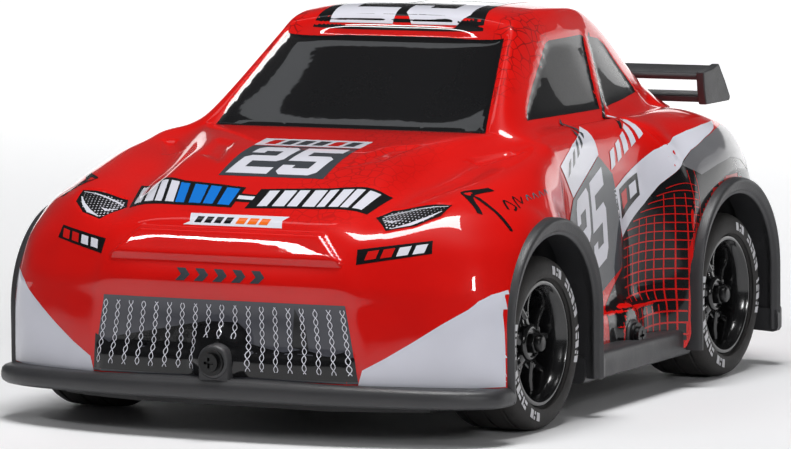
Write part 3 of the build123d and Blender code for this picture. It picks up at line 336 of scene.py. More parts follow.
# ---------------------------------------------------------------- body shell
# Half of the shell as rows of control points: x from the middle line outwards, y and z. An empty text
# repeats the row before. The first rows wrap round the nose to the front edge of the wheel arch, later
# ones run over bonnet, cabin and boot.
ROWS = [
    ("0 12 24 38.9 42 47 51.5 56 60 63.6 67 69.8 71.8 72.9 73.2",
     "-98.7*2 -98.6 -97.3 -96.6 -95.2 -93.5 -91.8 -90 -88.1 -85.8 -83.4 -81.5 -80.3 -79.5", "12.5*15"),
    ("0 12 24 38.3 42 47 51.5 56 60 63.6 67 69.8 71.8 72.9 73.2",
     "-98.6*2 -98.5 -97.4 -96.6 -95.2 -93.5 -91.8 -90 -88.1 -85.8 -83.4 -81.5 -80.3 -79.5", "20*15"),
    ("0 12 24 36.8 41 46.6 51.3 55.8 59.9 63.5 66.9 69.7 71.7 72.8 73.2",
     "-98.3*2 -98.2 -97.4 -96.4 -94.9 -93.2 -91.5 -89.7 -87.7 -85.5 -83.2 -81.2 -80.1 -79.5", "30*15"),
    ("0 12 24 35.8 40 46 51 55.6 59.7 63.4 66.8 69.6 71.6 72.7 73.1",
     "-98.1*2 -98 -97.5 -96.2 -94.4 -92.7 -90.9 -89 -87 -84.9 -82.7 -80.6 -79.2 -78.6", "36*13 35.8 35.6"),
    ("0 12 24 35 39.5 45.6 50.7 55.3 59.5 63.3 66.7 69.4 71.5 72.6 73",
     "-99.1*2 -98.9 -97.9 -96.2 -94.2 -92.3 -90.4 -88.5 -86.5 -84.2 -81.6 -79.2 -77.8 -77.2",
     "40.6*3 40.5 40.4 40.3 40.2 40.1 40*5 39.9 39.8"),
    ("0 12 24 34 38.8 45 50.2 54.9 59.1 63 66.5 69.3 71.4 72.5 72.9",
     "-97.4*2 -97.3 -96.8 -95 -92.8 -90.8 -88.8 -86.8 -84.9 -82.6 -79.6 -77 -75 -74.3",
     "45.3*4 45.2 45.1 45*2 44.9 44.8*6"),
    ("0 12 24 33 38 44.3 49.7 54.4 58.7 62.6 66 69 71.1 72.3 72.8",
     "-95*2 -94.9 -94.6 -93.2 -91.1 -89 -86.9 -84.8 -82.5 -79.8 -76.7 -73.8 -71.5 -70.5",
     "50.1*3 50*6 49.9 49.8 49.6 49.4 49.1 48.8"),
    ("0 12 24 32.5 37.5 43.6 49.2 54 58.2 62 65.4 68.3 70.7 72.1 72.6",
     "-92.3*2 -92.2 -91.6 -90.3 -88.2 -85.9 -83.6 -81.1 -78.3 -75.2 -72 -69.2 -67 -66.3",
     "54.7*2 54.6 54.2 53.9 54.1 54.5 54.7*2 54.6 54.3 53.9 53.2 52.4 51.8"),
    ("0 12 24 32 37 43 48.5 53.4 57.6 61.3 64.7 67.6 70 71.6 72.3",
     "-87.9*2 -87.7 -87 -85.6 -84 -81.9 -79.4 -76.6 -73.4 -70.2 -67 -64.2 -62.2 -61.4",
     "58.1*2 57.9 57.3 56.5 57.1 58 58.7 58.9 58.8 58.4 57.8 56.7 55.3 54.2"),
    ("0 12 24 31.8 36.8 42.5 48 53.1 57.3 60.9 64.2 67 69.4 71.1 72",
     "-80.6*2 -80.4 -79.9 -79 -77.6 -75.5 -73 -70.2 -67.1 -63.9 -60.8 -58 -56.2 -55.4",
     "61.4*2 61.2 60.5 58.8 59.3 60.7 61.6 61.8 61.5 60.8 59.8 58.4 56.8 55.7"),
    ("0 12 24 31.5 36.5 42 47.7 52.9 57.2 60.7 63.8 66.4 68.6 70.1 71.1",
     "-71*2 -70.9 -70.5 -70 -69.3 -68 -66.2 -64 -61.5 -58.8 -56 -53.4 -51.8 -51.2",
     "65.7*2 65.6 64.8 61.8 61.4 62.8 63.8 64.1 63.7 62.6 61 59 57.2 56"),
    ("0 12 24 31.5 36.5 42 48 53.6 58 61.4 64.2 66.6 68.6 70 71",
     "-60*3 -59.7 -59.5 -59.2 -58.7 -57.8 -56.4 -54.6 -52.7 -50.7 -48.8 -47.6 -47.1",
     "70*2 69.9 69 65 63.4 64.5 65.6 65.8 65.2 63.8 61.8 59.4 57.2 55.7"),
    ("0 12 24.5 32.5 37.5 43.3 49.2 54.9 59.2 62.3 64.8 66.8 68.4 69.6 70.6",
     "-49.5*3 -49.3 -49.2 -49.1 -48.8 -48.2 -47.3 -46.2 -45 -43.8 -42.8 -42.2 -42",
     "72.2*2 72.1 71.4 68.3 66.3 66.8 67.6*2 66.7 65 62.4 59.4 56.6 54.4"),
    ("0 12 25.5 35.5 40.3 45.5 51 56 59.6 62.2 64.2 65.8 67.2 68.3 69.3",
     "-38.5*5 -38.4 -38.3 -38.1 -37.9 -37.6 -37.3 -37 -36.8 -36.6 -36.5",
     "73.8*3 73.4 71 69*2 69.6 69.5 68.4 66 62.4 58.4 54.8 51.8"),
    ("0 12 26.5 38.5 43 47.8 52.6 56.6 59.4 61.5 63.2 64.6 65.8 66.8 67.8",
     "-30.5*6 -30.4 -30.3 -30.1 -29.8 -29.5 -29.2 -28.9 -28.7 -28.6",
     "74.8*3 74.6 73 71.2 70.8 71.2 70.8 69 65.7 60.8 54.8 49.4 44.6"),
    ("0 12 27 40.8 45.2 49 53 56.4 59 61 62.4 63.6 64.6 65.6 66.6",
     "-24.6*2 -24.8 -25.3 -25.2 -25 -24.9 -24.8 -24.7 -24.6 -24.5 -24.4 -24.2 -23.9 -23.6",
     "75.1*4 74.6 73.4 72.9 72.8 72 69.8 65.6 58.6 50 41 31"),
    ("0 12 27 40.4 44.9 48.8 52.7 56.1 58.8 60.7 62 62.8 62.7 64.4 65",
     "-23*2 -23.1 -23.4 -23 -22 -21.4 -21 -20.8 -20.9 -21 -21.2 -21.6 -22.4 -23.3",
     "76.3*3 76.7 76.6 75.6 74.1 73.3 72 69.2 64 52 30 24.5 12.5"),
    ("0 12 26 37.4 42 47.7 51.8 55.4 58 59.9 61 61.6 61.8 64.3 64.8",
     "-12.5*2 -12.6 -13 -12.4 -11 -10.6 -10.5*2 -10.6 -10.8 -11 -11.2 -11.3 -11.4",
     "84.5*2 84.6 85.4 84.6 77.4 75.2 74 72.2 68.5 61 47 27.5 24.6 12.5"),
    ("0 12 24.5 34.2 38.4 47.7 51.6 55 57.4 59.3 60.4 61 61.2 64.2 64.7", "-0.5*2 -0.6 -1 0 2*10",
     "94.2*2 94.3 94.8 94 77.2 75.2 73.8 72 68 60.5 46 27 24.5 12.5"),
    ("0 12 24 32.9 37.2 47.8 51.6 54.9 57.3 59.2 60.3 60.9 61.1 64.2 64.7", "4.2*2 4.1 4 5.5 8*10",
     "98.4*3 98.7 97.6 77 75.2 73.9 72 68 60.5 46 27 24.5 12.5"),
    ("0 12 24 32.3 37 47.9 51.6 54.9 57.3 59.2 60.3 60.9 61.1 64.2 64.7", "6*3 6.3 9 13*10",
     "102.2*2 102 101.6 98.8 77 75.3 74 72 68 60.5 46 27 24.5 12.5"),
    ("0 12 24 32 36.8 47.9 51.6 54.9 57.4 59.3 60.4 61 61.2 64.2 64.7", "10*2 10.5 11.5 13.5 18*10",
     "105.3*2 104.9 103.5 99.6 77 75.3 74 72 68 60.5 46 27 24.5 12.5"),
    ("0 12 24 31.8 36.7 47.8 51.6 55 57.5 59.5 60.6 61.2 61.4 64.2 64.7", "20*3 20.5 21.5 25*10",
     "106.5 106.4 106 104.6 100.2 77 75.3 74 72 68 60.5 46 27 24.5 12.5"),
    ("0 12 24 32 36.7 47.6 51.6 55.1 58.2 61.1 63.2 64.4 64.8 66.2 66.8", "32*4 32.5 34*10",
     "106.5 106.4 105.9 104.5 100.3 77 75.3 74.1 72.3 68.6 61 47 28 24.5 12.5"),
    ("0 12 23.5 31.6 36.4 47.2 51.8 55.9 60 64 67.4 69.6 70.8 71.5 71.8",
     "42*5 41.5 41*2 40.8 40.6 40.5 40.4 40.3*3",
     "106.2 106.1 105.5 104 99.7 76.9 75.2 74.1 72.5 69 62 49 34 24.5 12.5"),
    ("0 12 23 31.2 36 46.8 52.1 56.8 61.1 65 68.2 70.2 71.3 71.8 72",
     "50.5*5 49.5 49 48.2 47 45.6 44.4 43.4 42.6 42 41.5",
     "105.4 105.3 104.8 103.2 99.2 76.9 75.1 73.8 71.6 67.2 61.2 55 49 43 36"),
    ("0 12 22.5 30.6 35.6 46.2 51.9 56.6 61 64.9 68.1 70.2 71.3 71.8 72.1",
     "59*5 58.5 57.8 56.6 55 53 51 49.4 48.2 47.4 46.8",
     "102.6 102.4 101.9 100.4 96.8 77 75.1 74 72.2 69 65 60.2 55.5 51 46"),
    ("0 12 22 30.4 35.4 45.4 51.4 56.2 60.5 64.3 67.5 69.9 71.3 71.9 72.2",
     "68*6 67.6 66.6 65.2 63.4 61.6 60 58.8 58 57.5",
     "98 97.8 97.2 95.8 92.6 76.8 75 74 72.6 70.3 67.2 63.6 60 57 53.8"),
    ("0 12 21.6 30.2 35.2 44.8 51 56 60.2 63.8 66.9 69.4 70.9 71.6 71.9",
     "77*6 76.8 76.2 75 73.6 72 70.6 69.6 69 68.5",
     "92 91.8 91.2 89.8 86.8 76 74.4 73.4 72.2 70.2 67.6 64.4 61.3 58.6 56"),
    ("0 12 21.4 30 35 43.8 50.2 55.4 59.4 62.8 65.6 67.9 69.4 70.2 70.6",
     "86*4 86.3*2 86.2 86 85.3 84.4 83 81.6 80.6 80 79.5",
     "85 84.8 84.2 83 80.2 74.6 72.9 71.9 70.6 68.7 66.2 63 59.6 56.6 53.8"),
    ("0 12 21 29.8 34.8 43 49.2 54.2 58.2 61.6 64.3 66.4 67.8 68.7 69.2",
     "93.4*4 93.5*2 93.4 93.3 93 92.5 91.8 91 90.4 89.9 89.5",
     "78.4 78.2 77.8 76.8 75 73 71.7 70.5 68.8 66.5 63.3 59.3 55 51 46.9"),
    ("0 10 20 28.6 35 42.4 48.2 53 57 60.2 62.9 65.1 66.6 67.5 68",
     "98.5*6 98.4 98.2 97.8 97.2 96.4 95.6 94.9 94.5 94.2",
     "72.5 72.4 72.2 71.9 71.4 70.8 69.8 68.3 66 62.8 58.6 54 49 44.5 39.8"),
    ("0 10 20 28 35 42 47.2 51.6 55.4 58.6 61.4 63.7 65.4 66.6 67.2",
     "102*6 101.8 101.5 101 100.3 99.4 98.4 97.5 96.8 96.3",
     "69.3 69.2 69.1 68.8 68.4 67.6 66.4 64.4 61.4 57.6 53 48 43 38 33"),
    ("0 10 20 28 35 42 47 51.2 54.8 58 60.8 63.2 65.1 66.4 67",
     "103*5 102.9 102.6 102.1 101.4 100.6 99.7 98.7 97.8 97.1 96.5",
     "64*3 63.8 63.4 62.4 61 58.6 55.2 51 46.6 41.8 37 32 27"),
    ("", "103*5 102.8 102.4 101.8 101 100.2 99.2 98.3 97.5 96.9 96.5",
     "45*5 44.6 43.8 42.4 40.4 37.8 34.6 31 27.5 24.5 22"),
    ("", "102.7*5 102.5 102.1 101.5 100.8 100 99 98.1 97.4 96.9 96.5",
     "27*6 26.5 26 25.2 24.2 23 21.6 20.2 19 18"),
    ("", "102.5*5 102.3 101.9 101.3 100.6 99.8 98.9 98 97.3 96.9 96.5", "12.5*15"),
]


def numbers(text):
    """The numbers in a text, where 5*3 stands for 5 5 5."""
    out = []
    for word in text.split():
        value, _, times = word.partition("*")
        out += [float(value)] * int(times or 1)
    return out


def read_cage():
    rows = []
    for row in ROWS:
        rows.append([numbers(text) if text else rows[-1][axis] for axis, text in enumerate(row)])
    return np.ascontiguousarray(np.array(rows).transpose(0, 2, 1))


def spline_matrix(steps, start):
    """Weights of a uniform cubic B-spline through its end points.

    steps holds the samples in each span; start says how the curve goes on before its first point:
    "open", or mirrored at the middle line with the same ("even") or the opposite ("odd") sign.
    """
    count = len(steps) + 1
    lines = []
    for span, parts in enumerate(steps):
        last = span == len(steps) - 1
        for k in range(parts + (1 if last else 0)):
            t = k / parts
            weights = ((1 - t) ** 3 / 6, (3 * t**3 - 6 * t**2 + 4) / 6,
                       (-3 * t**3 + 3 * t**2 + 3 * t + 1) / 6, t**3 / 6)
            line = np.zeros(count)
            for offset, weight in zip((-1, 0, 1, 2), weights):
                at = span + offset
                if at < 0 and start == "open":
                    line[0] += 2 * weight
                    line[1] -= weight
                elif at < 0:
                    line[1] += weight if start == "even" else -weight
                elif at >= count:
                    line[-1] += 2 * weight
                    line[-2] -= weight
                else:
                    line[at] += weight
            lines.append(line)
    return np.array(lines)


def surface(cage, row_steps, col_steps):
    """Samples of the smooth surface of a cage, whose x changes sign across the middle line."""
    along = spline_matrix(row_steps, "open")
    even = spline_matrix(col_steps, "even")
    odd = spline_matrix(col_steps, "odd")
    return np.stack([along @ cage[..., 0] @ odd.T, along @ cage[..., 1] @ even.T,
                     along @ cage[..., 2] @ even.T], -1)


def sharpened(cage):
    """Moves the control points out, so that the smooth surface runs close by the given ones."""
    held = cage.copy()
    rows, cols = cage.shape[:2]
    for _ in range(2):
        held += 0.85 * (cage - surface(held, [1] * (rows - 1), [1] * (cols - 1)))
    return held


def span_steps(cage, axis, spacing):
    """How many samples each span needs for a mesh of about one spacing."""
    gaps = np.linalg.norm(np.diff(cage, axis=axis), axis=2)
    longest = gaps.max(axis=1 - axis)
    return [int(np.clip(np.ceil(length / spacing), 2, 12)) for length in longest]


def smooth_skin():
    """The whole outer skin as a grid of points, from nose to tail and from right to left."""
    cage = read_cage()
    spacing = 1.05
    half = surface(sharpened(cage), span_steps(cage, 0, spacing), span_steps(cage, 1, spacing))
    half[:, 0, 0] = 0.0
    return np.concatenate([half[:, :0:-1] * (-1, 1, 1), half], 1)


def grid_normals(grid):
    down = np.gradient(grid, axis=0)
    across = np.gradient(grid, axis=1)
    normal = np.cross(across, down)
    normal /= np.linalg.norm(normal, axis=2, keepdims=True) + 1e-12
    return normal


def outline_distance(points, polygon):
    """Signed distance of plane points to a closed outline, positive inside."""
    best = np.full(len(points), 1e9)
    inside = np.zeros(len(points), bool)
    for (ax, ay), (bx, by) in zip(polygon, polygon[1:] + polygon[:1]):
        edge = np.array((bx - ax, by - ay))
        rel = points - (ax, ay)
        t = np.clip(rel @ edge / (edge @ edge + 1e-12), 0, 1)
        best = np.minimum(best, np.linalg.norm(rel - t[:, None] * edge, axis=1))
        crosses = (ay > points[:, 1]) != (by > points[:, 1])
        with np.errstate(divide="ignore", invalid="ignore"):
            at = (bx - ax) * (points[:, 1] - ay) / (by - ay) + ax
        inside ^= crosses & (points[:, 0] < at)
    return np.where(inside, best, -best)


# the axes of a drawing of the top, front or side, and the part of the skin it is about
DRAWINGS = {
    "top": ((0, 1), lambda points, limit: points[:, 2] > limit),
    "front": ((0, 2), lambda points, limit: points[:, 1] < limit),
    "side": ((1, 2), lambda points, limit: points[:, 0] > limit),
}


def press(grid, drawing, limit, polygon, depth, ramp):
    """Raises or sinks the part of the shell inside an outline, on both sides of the car alike."""
    axes, kept = DRAWINGS[drawing]
    flat = grid.reshape(-1, 3)
    amount = np.zeros(len(flat))
    for side in SIDES:
        seen = flat * (side, 1, 1)
        inside = np.clip(outline_distance(seen[:, axes], polygon) / ramp + 0.5, 0, 1)
        inside = inside * inside * (3 - 2 * inside) * kept(seen, limit)
        amount = np.maximum(amount, inside)
    return (flat + grid_normals(grid).reshape(-1, 3) * (amount * depth)[:, None]).reshape(grid.shape)


WINDSCREEN = [(-33, 3.4), (-16, 4.3), (16, 4.3), (33, 3.4), (41, -25.2), (20, -24.2), (-20, -24.2),
              (-41, -25.2)]
FRONT_WINDOW = [(-12.5, 77.6), (-8, 80.6), (17.5, 95.8), (21, 96.7), (43, 96.9), (44, 96.2), (33.6, 77.2)]
REAR_WINDOW = [(47.5, 96.2), (55.5, 95.0), (58.5, 93.2), (66, 80.8), (65.5, 79.4), (38.2, 77.3)]
BACKLIGHT = [(-27, 56), (27, 56), (28, 88), (-28, 88)]
NOSE_PANEL = [(-34, 46.6), (-26.8, 53.6), (26.8, 53.6), (34, 46.6)]
GRILLE_LEDGE = [(-37.5, 12), (-37, 22.4), (37, 22.4), (37.5, 12)]
HEADLIGHT = [(37.0, -82.2), (39.4, -77.0), (46.5, -75.2), (55.0, -73.9), (54.2, -79.2), (49.4, -84.0),
             (42.4, -87.4)]
NOSE_SCREW_DOME = [(-4, 15), (-7.5, 20), (-6.5, 26), (0, 29), (6.5, 26), (7.5, 20), (4, 15)]
SIDE_SCREW_DOME = [(9, 14), (7.5, 20), (10, 25), (14, 26.5), (18, 25), (20.5, 20), (19, 14)]
HOOD_DENT = [(19, -63), (24, -47), (30, -44), (27, -58)]
FENDER_DENT = [(43, -40), (50, -31), (54, -31), (48, -41)]
DOOR_SEAM = [(34.6, 76.4), (36.2, 76.4), (42.4, 62), (41, 61.4)]
HAUNCH_DENT = [(68, 81.5), (76, 77.6), (76, 75.4), (68.5, 76.6)]
NOSE_Y = -86.0

skin = smooth_skin()
for pressing in (
    ("top", 75, WINDSCREEN, -0.42, 1.6),
    ("side", 0, FRONT_WINDOW, -0.5, 1.2),
    ("side", 0, REAR_WINDOW, -0.5, 1.2),
    ("top", 76, BACKLIGHT, -0.5, 1.3),
    ("front", NOSE_Y, NOSE_PANEL, 1.3, 1.3),
    ("front", NOSE_Y, GRILLE_LEDGE, 1.0, 2.6),
    ("top", 52, HEADLIGHT, -0.5, 1.4),
    ("front", NOSE_Y, NOSE_SCREW_DOME, 2.0, 5.0),
    ("side", 0, SIDE_SCREW_DOME, 1.6, 4.0),
    ("top", 60, HOOD_DENT, -0.9, 2.6),
    ("top", 60, FENDER_DENT, -0.9, 2.4),
    ("side", 0, DOOR_SEAM, -0.5, 1.2),
    ("side", 0, HAUNCH_DENT, -1.6, 2.8),
):
    skin = press(skin, *pressing)

SHELL_WALL = 1.3
rows, cols = skin.shape[:2]
skin_normals = grid_normals(skin)
flat_skin, flat_normals = skin.reshape(-1, 3), skin_normals.reshape(-1, 3)
skin_quads = [(a, a + 1, a + cols + 1, a + cols)
              for i in range(rows - 1) for a in range(i * cols, (i + 1) * cols - 1)]


def build_shell():
    """The outer skin, a coarser inner skin and the rim that joins them."""
    points = np.concatenate([flat_skin, flat_skin - flat_normals * SHELL_WALL])
    normals = np.concatenate([flat_normals, -flat_normals])
    faces, kinds = list(skin_quads), [0] * len(skin_quads)
    inner = rows * cols
    every_row = list(range(0, rows - 1, 3)) + [rows - 1]
    every_col = sorted(set(range(cols // 2, cols, 3)) | set(range(cols // 2, -1, -3)) | {0, cols - 1})
    for i, i2 in zip(every_row, every_row[1:]):
        for j, j2 in zip(every_col, every_col[1:]):
            faces.append((inner + i * cols + j, inner + i2 * cols + j, inner + i2 * cols + j2,
                          inner + i * cols + j2))
            kinds.append(1)
    edge = [(0, j) for j in range(cols)] + [(i, cols - 1) for i in range(1, rows)]
    edge += [(rows - 1, j) for j in range(cols - 2, -1, -1)] + [(i, 0) for i in range(rows - 2, 0, -1)]
    coarse = [k for k, (i, j) in enumerate(edge) if i in every_row and j in every_col]
    for k, k2 in zip(coarse, coarse[1:] + [len(edge)]):
        outer = [edge[m % len(edge)] for m in range(k, k2 + 1)]
        ring = [i * cols + j for i, j in reversed(outer)]
        ring += [inner + i * cols + j for i, j in (outer[0], outer[-1])]
        faces.append(tuple(ring))
        kinds.append(0)
    used = sorted({v for face in faces for v in face})
    index = {v: k for k, v in enumerate(used)}
    faces = [tuple(index[v] for v in face) for face in faces]
    body = piece("body_skin", points[used], faces, [RED, INNER], "chassis", normals[used],
                 kinds)
    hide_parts("body_shell")


build_shell()
skin_tris = [tri for a, b, c, d in skin_quads for tri in ((a, b, c), (a, c, d))]
skin_tree = BVHTree.FromPolygons([Vector(p) for p in flat_skin], skin_tris)

# where a drawing's ray starts, its direction and how far it may go
VIEWS = {
    "front": (lambda a, b: (a, -140, b), (0, 1, 0), 80),
    "rear": (lambda a, b: (a, 140, b), (0, -1, 0), 80),
    "top": (lambda a, b: (a, b, 150), (0, 0, -1), 105),
    "left": (lambda a, b: (120, a, b), (-1, 0, 0), 90),
    "right": (lambda a, b: (-120, a, b), (1, 0, 0), 90),
}


def land(view, a, b, lift):
    """The point of the skin under a drawing's point, raised by lift, and the skin's normal there."""
    origin, direction, reach = VIEWS[view]
    hit, _, index, _ = skin_tree.ray_cast(Vector(origin(a, b)), Vector(direction), reach)
    if hit is None:
        return None
    corners = skin_tris[index]
    p, q, r = (flat_skin[c] for c in corners)
    hit = np.array(hit)
    areas = [np.linalg.norm(np.cross(q - hit, r - hit)), np.linalg.norm(np.cross(r - hit, p - hit)),
             np.linalg.norm(np.cross(p - hit, q - hit))]
    normal = sum(w * flat_normals[c] for w, c in zip(areas, corners))
    normal /= np.linalg.norm(normal) + 1e-12
    return hit + normal * lift, normal


class Print:
    """Shapes drawn in one side view and laid on the skin as a thin printed layer."""

    def __init__(self, view, lift, cell=1.3):
        self.view, self.lift, self.cell = view, lift, cell
        self.points, self.normals, self.faces = [], [], []

    def shape(self, outline):
        """Lays a closed outline on the skin, cut into cells so that it follows the skin's curve."""
        bm = bmesh.new()
        face = bm.faces.new([bm.verts.new((a, b, 0)) for a, b in outline])
        bmesh.ops.triangulate(bm, faces=[face])
        for k in (0, 1):
            low, high = min(p[k] for p in outline), max(p[k] for p in outline)
            cuts = int((high - low) / self.cell)
            for c in range(1, cuts + 1):
                at = low + (high - low) * c / (cuts + 1)
                bmesh.ops.bisect_plane(bm, geom=bm.verts[:] + bm.edges[:] + bm.faces[:], dist=1e-5,
                                       plane_co=(at, at, 0), plane_no=(1 - k, k, 0))
        bm.verts.ensure_lookup_table()
        index = {}
        for v in bm.verts:
            found = land(self.view, v.co.x, v.co.y, self.lift)
            if found is not None:
                index[v.index] = len(self.points)
                self.points.append(found[0])
                self.normals.append(found[1])
        for f in bm.faces:
            ring = [v.index for v in f.verts]
            if not all(v in index for v in ring):
                continue
            here = np.array([self.points[index[v]] for v in ring])
            drawn = np.array([v.co[:] for v in f.verts])
            spread, size = np.ptp(here, axis=0).max(), np.ptp(drawn, axis=0).max()
            if spread < 5 * size + 1.5:
                self.faces.append([index[v] for v in ring])
        bm.free()

    def ribbon(self, path, width):
        """A stroke of one width, or of a width at each point, along a path."""
        widths = width if isinstance(width, (list, tuple)) else [width] * len(path)
        left, right = [], []
        for k, (a, b) in enumerate(path):
            before, after = path[max(0, k - 1)], path[min(len(path) - 1, k + 1)]
            da, db = after[0] - before[0], after[1] - before[1]
            size = hypot(da, db) or 1.0
            half_width = widths[k] / 2
            left.append((a - db / size * half_width, b + da / size * half_width))
            right.append((a + db / size * half_width, b - da / size * half_width))
        for k in range(len(path) - 1):
            self.shape([left[k], left[k + 1], right[k + 1], right[k]])

    def make(self, name, material):
        """The layer's piece, with every face turned outwards."""
        fixed = []
        for ring in self.faces:
            p, q, r = (np.array(self.points[v]) for v in ring[:3])
            if np.dot(np.cross(q - p, r - p), self.normals[ring[0]]) < 0:
                ring = ring[::-1]
            fixed.append(tuple(ring))
        piece(name, self.points, fixed, [material], "chassis", self.normals)


def printed(name, material, view, lift, outlines, cell=1.3):
    """One printed layer of closed outlines."""
    layer = Print(view, lift, cell)
    for outline in outlines:
        layer.shape(outline)
    layer.make(name, material)


def curve_points(points, parts=8):
    """A smooth path through the given plane points."""
    points = [points[0]] + list(points) + [points[-1]]
    out = []
    for p0, p1, p2, p3 in zip(points, points[1:], points[2:], points[3:]):
        for k in range(parts):
            t = k / parts
            out.append(tuple(0.5 * (2 * b + (c - a) * t + (2 * a - 5 * b + 4 * c - d) * t * t
                                    + (3 * b - a - 3 * c + d) * t**3)
                             for a, b, c, d in zip(p0, p1, p2, p3)))
    out.append(tuple(points[-1]))
    return out


def row(outline, place, step, count):
    """Copies of an outline: the first is moved to a place, and each next one is a step further."""
    return [[(a + place[0] + k * step[0], b + place[1] + k * step[1]) for a, b in outline]
            for k in range(count)]


def flipped(outline):
    return [(-a, b) for a, b in outline]


def on_side(outline, side):
    """An outline drawn for the left side, on the left (1) or the right (-1)."""
    return list(outline) if side > 0 else flipped(outline)


# digits on a grid 1 wide and 1.5 high
TWO = [(0, 1.38), (0.12, 1.5), (0.88, 1.5), (1, 1.38), (1, 0.72), (0.88, 0.6), (0.3, 0.6), (0.3, 0.3),
       (1, 0.3), (1, 0), (0, 0), (0, 0.78), (0.12, 0.9), (0.7, 0.9), (0.7, 1.2), (0.3, 1.2), (0.3, 1.06),
       (0, 1.06)]
FIVE = [(0, 1.5), (1, 1.5), (1, 1.2), (0.3, 1.2), (0.3, 0.95), (0.86, 0.95), (1, 0.81), (1, 0.14),
        (0.86, 0), (0.14, 0), (0, 0.14), (0, 0.44), (0.3, 0.44), (0.3, 0.3), (0.7, 0.3), (0.7, 0.65),
        (0, 0.65)]


def number_25(width, height, gap, shear, place):
    """The car's number: width and height of one digit, the lower left corner at place."""
    digits = []
    for k, digit in enumerate((TWO, FIVE)):
        left = k * (width + gap)
        digits.append([(u * width + left + v * height / 1.5 * shear + place[0], v * height / 1.5 + place[1])
                       for u, v in digit])
    return digits


# ---------------------------------------------------------------- printed graphics
# lifts of the layers above the skin
LOW, MID, HIGH, TOP = 0.06, 0.11, 0.16, 0.21
SLANT = [(0, 0), (0.4, 1.4), (2.4, 1.4), (2.0, 0)]
WIDE_SLANT = [(0, 0), (0.4, 1.4), (3.0, 1.4), (2.6, 0)]
TALL_SLANT = [(0, 0), (0.8, 4.6), (4.0, 4.6), (3.2, 0)]
PILL_SLANT = [(0, 0), (0.5, 2.2), (3.2, 2.6), (2.7, 0.4)]
DOOR_BAR = [(0, 0), (2.2, 3.8), (4.6, 4.9), (2.2, 1.1)]
DOOR_BLOCK = [(0, 0), (0.6, 5.0), (3.6, 6.0), (2.8, 1.2)]
NOSE_CHEVRON = [(0, 0), (1.6, 1.6), (0, 3.2), (2.6, 3.2), (4.2, 1.6), (2.6, 0)]
TAIL_CHEVRON = [(0, 0), (2.2, 2.4), (0, 4.8), (2.6, 4.8), (4.8, 2.4), (2.6, 0)]


def print_windows_and_roof():
    printed("glass_front_rear", GLASS, "top", LOW, [WINDSCREEN, BACKLIGHT])
    for _, view in SIDE_VIEWS:
        printed(f"glass_{view}", GLASS, view, LOW, [FRONT_WINDOW, REAR_WINDOW])
    printed("roof_panel", BLACK, "top", LOW,
            [[(-26.2, 4.9), (26, 4.9), (24.5, 12), (22, 44), (-22, 44), (-24.5, 12)]])
    printed("roof_digits", WHITE, "top", MID, number_25(19.5, 27, 3.0, 0.03, (-21.4, 5.6)))


def print_grille():
    """A grey panel with a dark, uneven base band, and columns of small chain links over both. The band is
    partly black print round the screw dome and partly a painted reflection of the dark floor.
    """
    top_z = 36.2
    printed("grille_panel", GREY, "front", LOW, [[(-39.2, 16), (39.2, 16), (35.6, top_z), (-35.6, top_z)]])
    # the black band: print round the nose screw's dome, elsewhere a painted dark reflection of the floor in
    # the glossy ledge; the second outline is a dark wedge
    printed("grille_print_and_painted_reflection", BLACK, "front", 0.14, [
        [(-39.0, 16.6), (39.0, 16.6), (38.2, 22.6), (35.4, 24.2), (31, 22.8), (27.6, 22.4), (24, 24.4),
         (18, 23.4), (12, 24.4), (8.6, 25.2), (7.2, 28.6), (4.6, 30.6), (-4.6, 30.6), (-7.2, 28.6),
         (-8.4, 25.0), (-13, 23.6), (-19, 24.6), (-24.4, 22.6), (-25.6, 24.2), (-31, 25.6), (-34, 23.6),
         (-38.4, 25.8)],
        [(20.6, 24.8), (25.4, 23.9), (24.6, 29), (21.2, 34.8)]], 0.8)
    columns, half_width, top, link, swing = 19, 34.6, 35.0, 1.9, 0.62
    chain = Print("front", 0.24, 3.0)
    for column in range(columns):
        across = -half_width + 2 * half_width * column / (columns - 1)
        foot = 18.2 if abs(across) > 7 else 26.4
        steps = int((top - foot) / link) * 4
        for side in SIDES:
            path = []
            for k in range(steps + 1):
                z = foot + (top - foot) * k / steps
                lean = across * (1 + (top_z - z) * 0.0042)
                path.append((lean + side * swing * sin(pi * (k / 4) + column), z))
            chain.ribbon(path, 0.22)
    chain.make("grille_chain", WHITE)


def print_nose():
    """Pale corners, five dark chevrons and a pale strip with dark and orange marks."""
    corner = [(38.9, 15), (40.2, 19.6), (46, 22.8), (53, 27.2), (59.5, 31.6), (65.5, 35.4), (69.6, 37.9),
              (73.6, 39.4), (73.6, 15)]
    corner_side = [(-87.6, 15), (-87.6, 33.4), (-84.2, 37.4), (-81.6, 38.9), (-78.0, 39.8), (-74, 40),
                   (-74, 15)]
    for side, name in SIDE_VIEWS:
        printed(f"corner_{name}", PALE, "front", LOW, [on_side(corner, side)])
    for _, view in SIDE_VIEWS:
        printed(f"corner_side_{view}", PALE, view, LOW, [corner_side])
    printed("nose_chevrons", SLATE, "front", MID, row(NOSE_CHEVRON, (-13.4, 41), (5.5, 0), 5))
    printed("strip_back", WHITE, "front", LOW,
            [[(-14.6, 54.9), (-13.0, 55.7), (-14.0, 57.6), (15.2, 57.6), (13.8, 56.6), (14.6, 54.9)]])
    printed("strip_dark", BLACK, "front", MID, row(SLANT, (-11.6, 55.5), (2.9, 0), 4))
    printed("strip_orange", ORANGE, "front", MID, row(WIDE_SLANT, (0.6, 55.5), (3.4, 0), 3))


BAND_FOOT = [(-35.4, -83.7), (-20, -85.3), (0, -86), (20, -84.8), (34.6, -82.6)]
BAND_TOP = [(-41, -66.8), (-24, -73.6), (0, -76.6), (20, -74.8), (36.4, -71)]


